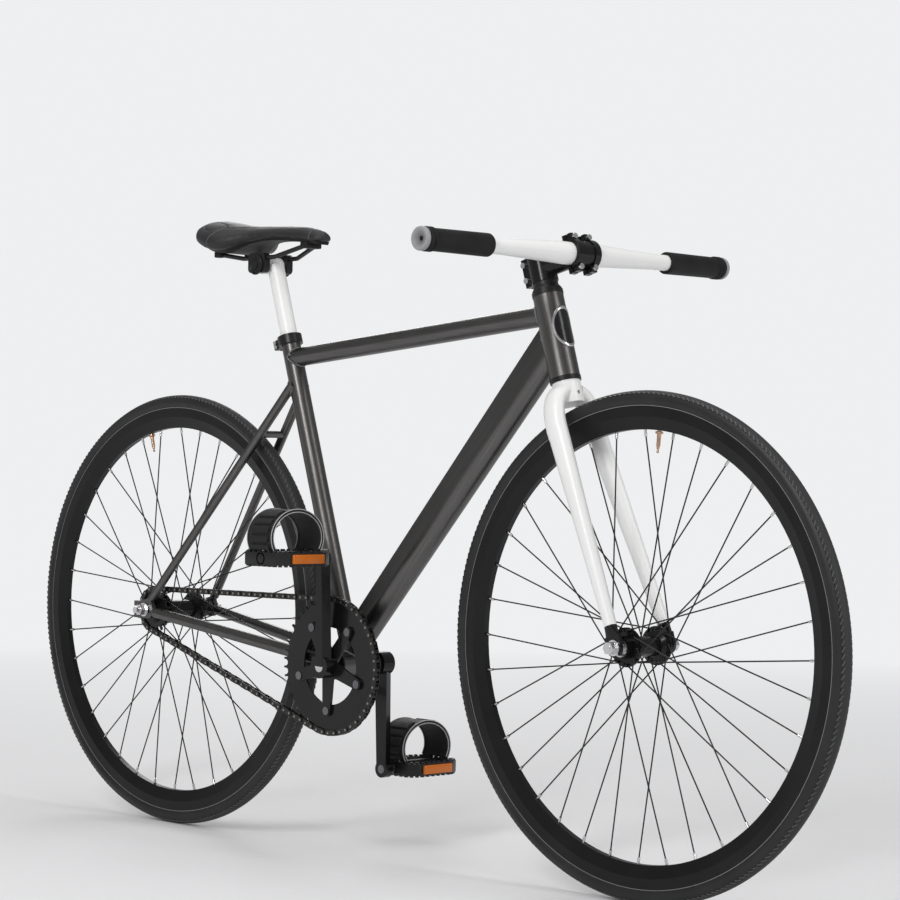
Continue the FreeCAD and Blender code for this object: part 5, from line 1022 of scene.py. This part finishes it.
def lensFinish():
    material, shader = startMaterial("amber_lens", coat=0.4, coatRoughness=0.05, specular=0.3)
    point = objectPoint(material)
    cells = addNode(material, "ShaderNodeTexVoronoi", {"Vector": point, "Scale": 1 / lensSizes["prism"],
                                                       "Randomness": 0.0}, distance="MANHATTAN")
    facet = cells.outputs["Distance"]
    colour = ramp(material, facet, (0.1, (0.74, 0.200, 0.006)), (0.9, (0.48, 0.110, 0.003)))
    return surfaced(material, shader, colour, (facet, 0.12, 0.24), (facet, 0.3, 0.0004))


amberLens = lensFinish()
for word, side in (("right", -1), ("left", 1)):
    body = "pedal_" + word
    middle = boxMiddle("pedal_body_" + word)
    cageMesh, coreMesh = pedalMesh(word, side, middle)
    cage = bevelled(addObject("pedal_cage_" + word, cageMesh, pedalPlastic), pedalSizes["bevel"])
    settle(cage, body, "pedal_plastic", "pedal_body_" + word)
    addPiece("pedal_core_" + word, coreMesh, pedalPlastic, body, "pedal_plastic")
    addPiece("foot_strap_" + word, strapMesh("foot_strap_" + word, middle), strapWeb, body, "strap_web",
             "pedal_strap_" + word)
    tabs = []
    for across in (-1, 1):
        for near, far in strapSizes["tabs"]:
            aside = across * (strapSizes["half"] - strapSizes["thick"] / 2)
            place = Vector(((near + far) / 2, aside, strapSizes["tabLift"]))
            tabs.append(boxMesh("tab", middle + place, (far - near, strapSizes["thick"], strapSizes["tabHigh"])))
    tabPiece = bevelled(addObject("strap_tabs_" + word, joined("strap_tabs_" + word, *tabs), strapWeb),
                        strapSizes["tabBevel"])
    settle(tabPiece, body, "strap_web")
    piping = alongPaths("strap_piping_" + word, pipingCord, strapRuns(middle), Radius=strapSizes["piping"],
                        Step=strapSizes["pipingStep"], Finish=pipingLook)
    settle(piping, body, "strap_web")
    lenses = []
    for way in (-1, 1):
        place = Vector((way * (pedalSizes["long"] + lensSizes["thick"]) / 2, 0, 0))
        lenses.append(boxMesh("lens", middle + place, (lensSizes["thick"], lensSizes["wide"], lensSizes["high"])))
    lens = bevelled(addObject("pedal_lenses_" + word, joined("pedal_lenses_" + word, *lenses), amberLens),
                    lensSizes["bevel"])
    settle(lens, body, "amber", "pedal_reflectors_" + word)
print("pedals ready")


# rail sockets: blocks moulded under the saddle shell that take the ends of the rails
socketSizes = {"long": 0.016, "beside": 0.0060, "below": 0.0046, "into": 0.0012, "tip": 0.004, "bevel": 0.0016}


def railTip(side, way):
    own = [vertex.co for vertex in cadNodes["saddle_rails"].data.vertices if vertex.co.y * side > 0]
    reach = max(point.x * way for point in own)
    ring = [point for point in own if point.x * way > reach - socketSizes["tip"]]
    return sum(ring, Vector()) / len(ring)


def socketMesh(tree, tips):
    hits = [tree.ray_cast(tip, Vector((0, 0, 1)))[0] for tip in tips]
    high = max(point.z for point in hits if point) + socketSizes["into"]
    low = min(tip.z for tip in tips) - socketSizes["below"]
    wide = max(tip.y for tip in tips) - min(tip.y for tip in tips) + 2 * socketSizes["beside"]
    middle = sum(tips, Vector()) / len(tips)
    return boxMesh("socket", Vector((middle.x, middle.y, (low + high) / 2)), (socketSizes["long"], wide, high - low))


shellTree = treeOf(cadNodes["saddle_shell"].data)
socketTips = [[railTip(-1, 1), railTip(1, 1)], [railTip(-1, -1)], [railTip(1, -1)]]
socketMeshes = [socketMesh(shellTree, tips) for tips in socketTips]
sockets = bevelled(addObject("rail_sockets", joined("rail_sockets", *socketMeshes), shellPlastic), socketSizes["bevel"])
settle(sockets, "saddle", "pedal_plastic")
print("rail sockets ready")


# head badge: a plain domed oval with a bright rim
badgeSizes = {"middle": 0.447, "halfHigh": 0.029, "halfArc": 0.0205, "tube": 0.021, "thick": 0.0011, "rim": 0.0005,
              "sink": 0.0002, "spots": 72}
badgeShares = [0.25, 0.5, 0.7, 0.82, 0.86, 0.88, 0.93, 0.97, 1.0, 1.0]
fieldRows = 5
badgeField = plainFinish("badge_field", (0.008, 0.008, 0.009), (0.014, 0.014, 0.015), (0.18, 0.28), (900, 0.04, 0.0002),
                         drift=60, coat=0.2, coatRoughness=0.05, specular=0.25)
badgeRim = plainFinish("badge_rim", (0.55, 0.55, 0.56), (0.66, 0.66, 0.67), (0.22, 0.32), (1500, 0.05, 0.0002),
                       drift=60, metallic=1.0)


def badgeMesh():
    spots = badgeSizes["spots"]

    def place(share, turn, lift):
        around = badgeSizes["halfArc"] * share * math.cos(turn) / badgeSizes["tube"]
        height = badgeSizes["middle"] + badgeSizes["halfHigh"] * share * math.sin(turn)
        outward = headAhead * math.cos(around) + sideways * math.sin(around)
        return headFoot + headUp * height + outward * (badgeSizes["tube"] + lift)

    points = [place(0, 0, badgeSizes["thick"])]
    last = len(badgeShares) - 1
    for row, share in enumerate(badgeShares):
        lift = badgeSizes["thick"] + (badgeSizes["rim"] if fieldRows <= row < last - 1 else 0.0)
        lift = -badgeSizes["sink"] if row == last else lift
        points += [place(share, math.tau * spot / spots, lift) for spot in range(spots)]
    faces = [[0, 1 + spot, 1 + (spot + 1) % spots] for spot in range(spots)]
    for row in range(last):
        for spot in range(spots):
            after = (spot + 1) % spots
            faces.append([1 + row * spots + spot, 1 + (row + 1) * spots + spot, 1 + (row + 1) * spots + after,
                          1 + row * spots + after])
    return meshFrom("head_badge", points, faces)


badge = badgeMesh()
badgePiece = addObject("head_badge", badge, badgeField, badgeRim)
for polygon in badge.polygons:
    polygon.material_index = 0 if polygon.index < badgeSizes["spots"] * fieldRows else 1
settle(badgePiece, "frame", "black_alloy")
print("badge ready")


# weld beads: rippled fillets round the ends of the frame tubes
weldSizes = {"spacing": 0.0019, "bead": (0.0034, 0.0058, 0.0040), "bins": 60, "near": 0.00015, "outerShare": 0.55}
weldLines = {  # origin, direction and radius of the tube that is met
    "head": (headFoot, headUp, 0.021), "seat": (layout["bracket"], seatUp, 0.0143),
    "shell": (layout["bracket"], sideways, 0.020),
}
weldPlaces = [  # tube, the tube it meets, and its side of the bike or 0 for both
    ("top_tube", "head", 0), ("top_tube", "seat", 0), ("down_tube", "head", 0), ("down_tube", "shell", 0),
    ("seat_tube", "shell", 0), ("chainstays", "shell", -1), ("chainstays", "shell", 1), ("seatstays", "seat", -1),
    ("seatstays", "seat", 1),
]
weldMetal = plainFinish("weld_metal", (0.15, 0.15, 0.155), (0.20, 0.20, 0.205), (0.30, 0.42), (900, 0.08, 0.0003),
                        drift=50, metallic=1.0)


def weldLoop(nodeName, lineName, half):
    origin, axis, radius = weldLines[lineName]
    points = []
    for vertex in cadNodes[nodeName].data.vertices:
        offset = vertex.co - origin
        away = (offset - axis * offset.dot(axis)).length
        if abs(away - radius) < weldSizes["near"] and vertex.co.y * half >= 0:
            points.append(vertex.co.copy())
    middle = sum(points, Vector()) / len(points)
    local = axisPlace(middle, tubeDirections[nodeName], sideways).inverted()
    best = {}
    for point in points:
        spot = local @ point
        away = math.hypot(spot.x, spot.y)
        slot = round(math.atan2(spot.y, spot.x) / math.tau * weldSizes["bins"]) % weldSizes["bins"]
        if slot not in best or away > best[slot][0]:
            best[slot] = (away, point)
    outermost = max(away for away, _ in best.values())
    least = weldSizes["outerShare"] * outermost
    return [best[slot][1] for slot in sorted(best) if best[slot][0] > least], True


welds = alongPaths("weld_beads", beadCopies, [weldLoop(*spot) for spot in weldPlaces], Spacing=weldSizes["spacing"],
                   Size=weldSizes["bead"], Tilt=0.0, Centre=layout["bracket"], Finish=weldMetal)
settle(welds, "frame", "frame_grey")
print("welds ready")


# stage: pale floor that fades into the background, soft light and the camera
stageLook = {"floor": (0.74, 0.74, 0.75), "backdrop": (0.86, 0.865, 0.875), "ambient": 0.45, "mirrored": 0.30,
             "floorReach": 30.0, "fadeFrom": 0.9, "fadeTo": 4.2}


def floorFinish():
    material, shader = startMaterial("pale_floor", specular=0.1)
    point = objectPoint(material)
    fade = spread(material, length(material, point), stageLook["fadeFrom"], stageLook["fadeTo"])
    fine = noise(material, point, 60)
    feed(material, ramp(material, fine, (0.3, tuple(0.98 * part for part in stageLook["floor"])),
                        (0.7, stageLook["floor"])), shader.inputs["Base Color"])
    feed(material, between(material, fine, 0.72, 0.82), shader.inputs["Roughness"])
    glow = addNode(material, "ShaderNodeEmission", {"Color": (*stageLook["backdrop"], 1), "Strength": 1.0})
    both = addNode(material, "ShaderNodeMixShader", {0: fade, 1: shader.outputs[0], 2: glow.outputs[0]})
    feed(material, both.outputs[0], material.node_tree.nodes["Material Output"].inputs["Surface"])
    return material


reach = stageLook["floorReach"]
floorMesh = meshFrom("floor", [(-reach, -reach, 0), (reach, -reach, 0), (reach, reach, 0), (-reach, reach, 0)],
                     [[0, 1, 2, 3]])
floor = addObject("floor", floorMesh, floorFinish())

world = bpy.data.worlds.new("studio")
scene.world = world
world.use_nodes = True
sky = world.node_tree
sky.nodes.clear()
rays = treeNode(sky, "ShaderNodeLightPath")
level = treeNode(sky, "ShaderNodeMapRange", {
    "Value": rays.outputs["Is Glossy Ray"], "To Min": stageLook["ambient"], "To Max": stageLook["mirrored"],
})
lit = treeNode(sky, "ShaderNodeBackground", {"Color": (1, 1, 1, 1), "Strength": level.outputs["Result"]})
shown = treeNode(sky, "ShaderNodeBackground", {"Color": (*stageLook["backdrop"], 1), "Strength": 1.0})
mix = treeNode(sky, "ShaderNodeMixShader", {0: rays.outputs["Is Camera Ray"], 1: lit.outputs[0], 2: shown.outputs[0]})
treeNode(sky, "ShaderNodeOutputWorld", {"Surface": mix.outputs[0]})

lamps = {  # place, aim, width, height, watts
    "key": ((0.9, -3.0, 2.6), (0.0, 0.0, 0.5), 0.8, 1.8, 64.0),
    "side": ((3.3, 0.6, 1.7), (0.2, 0.0, 0.5), 0.7, 2.2, 26.0),
    "rear": ((-2.6, 2.2, 2.2), (0.0, 0.0, 0.5), 1.2, 1.8, 24.0),
    "top": ((0.0, 0.0, 3.4), (0.0, 0.0, 0.0), 3.0, 2.0, 30.0),
}
for lampName, (spot, target, width, height, watts) in lamps.items():
    light = bpy.data.lights.new(lampName, "AREA")
    light.shape, light.size, light.size_y, light.energy = "RECTANGLE", width, height, watts
    lamp = bpy.data.objects.new(lampName, light)
    lamp.location = spot
    lamp.rotation_euler = (Vector(target) - Vector(spot)).to_track_quat("-Z", "Y").to_euler()
    scene.collection.objects.link(lamp)

shot = {"place": (2.71648, -2.57696, 0.57245), "azimuth": 45.22, "pitch": 0.48, "roll": 0.96,
        "focalPixels": 2594.3, "axisRow": 441, "pixels": 900}


def addCamera():
    azimuth, pitch, roll = (math.radians(shot[key]) for key in ("azimuth", "pitch", "roll"))
    ahead = Vector((-math.sin(azimuth) * math.cos(pitch), math.cos(azimuth) * math.cos(pitch), math.sin(pitch)))
    right = Vector((math.cos(azimuth), math.sin(azimuth), 0))
    up = right.cross(ahead)
    turnedRight = right * math.cos(roll) + up * math.sin(roll)
    turnedUp = up * math.cos(roll) - right * math.sin(roll)
    data = bpy.data.cameras.new("camera")
    data.sensor_width = 36.0
    data.lens = data.sensor_width * shot["focalPixels"] / shot["pixels"]
    data.shift_y = (shot["axisRow"] - shot["pixels"] / 2) / shot["pixels"]
    camera = bpy.data.objects.new("camera", data)
    camera.matrix_world = Matrix.Translation(shot["place"]) @ Matrix(
        (turnedRight, turnedUp, -ahead)).transposed().to_4x4()
    scene.collection.objects.link(camera)
    scene.camera = camera


addCamera()
print("stage ready")
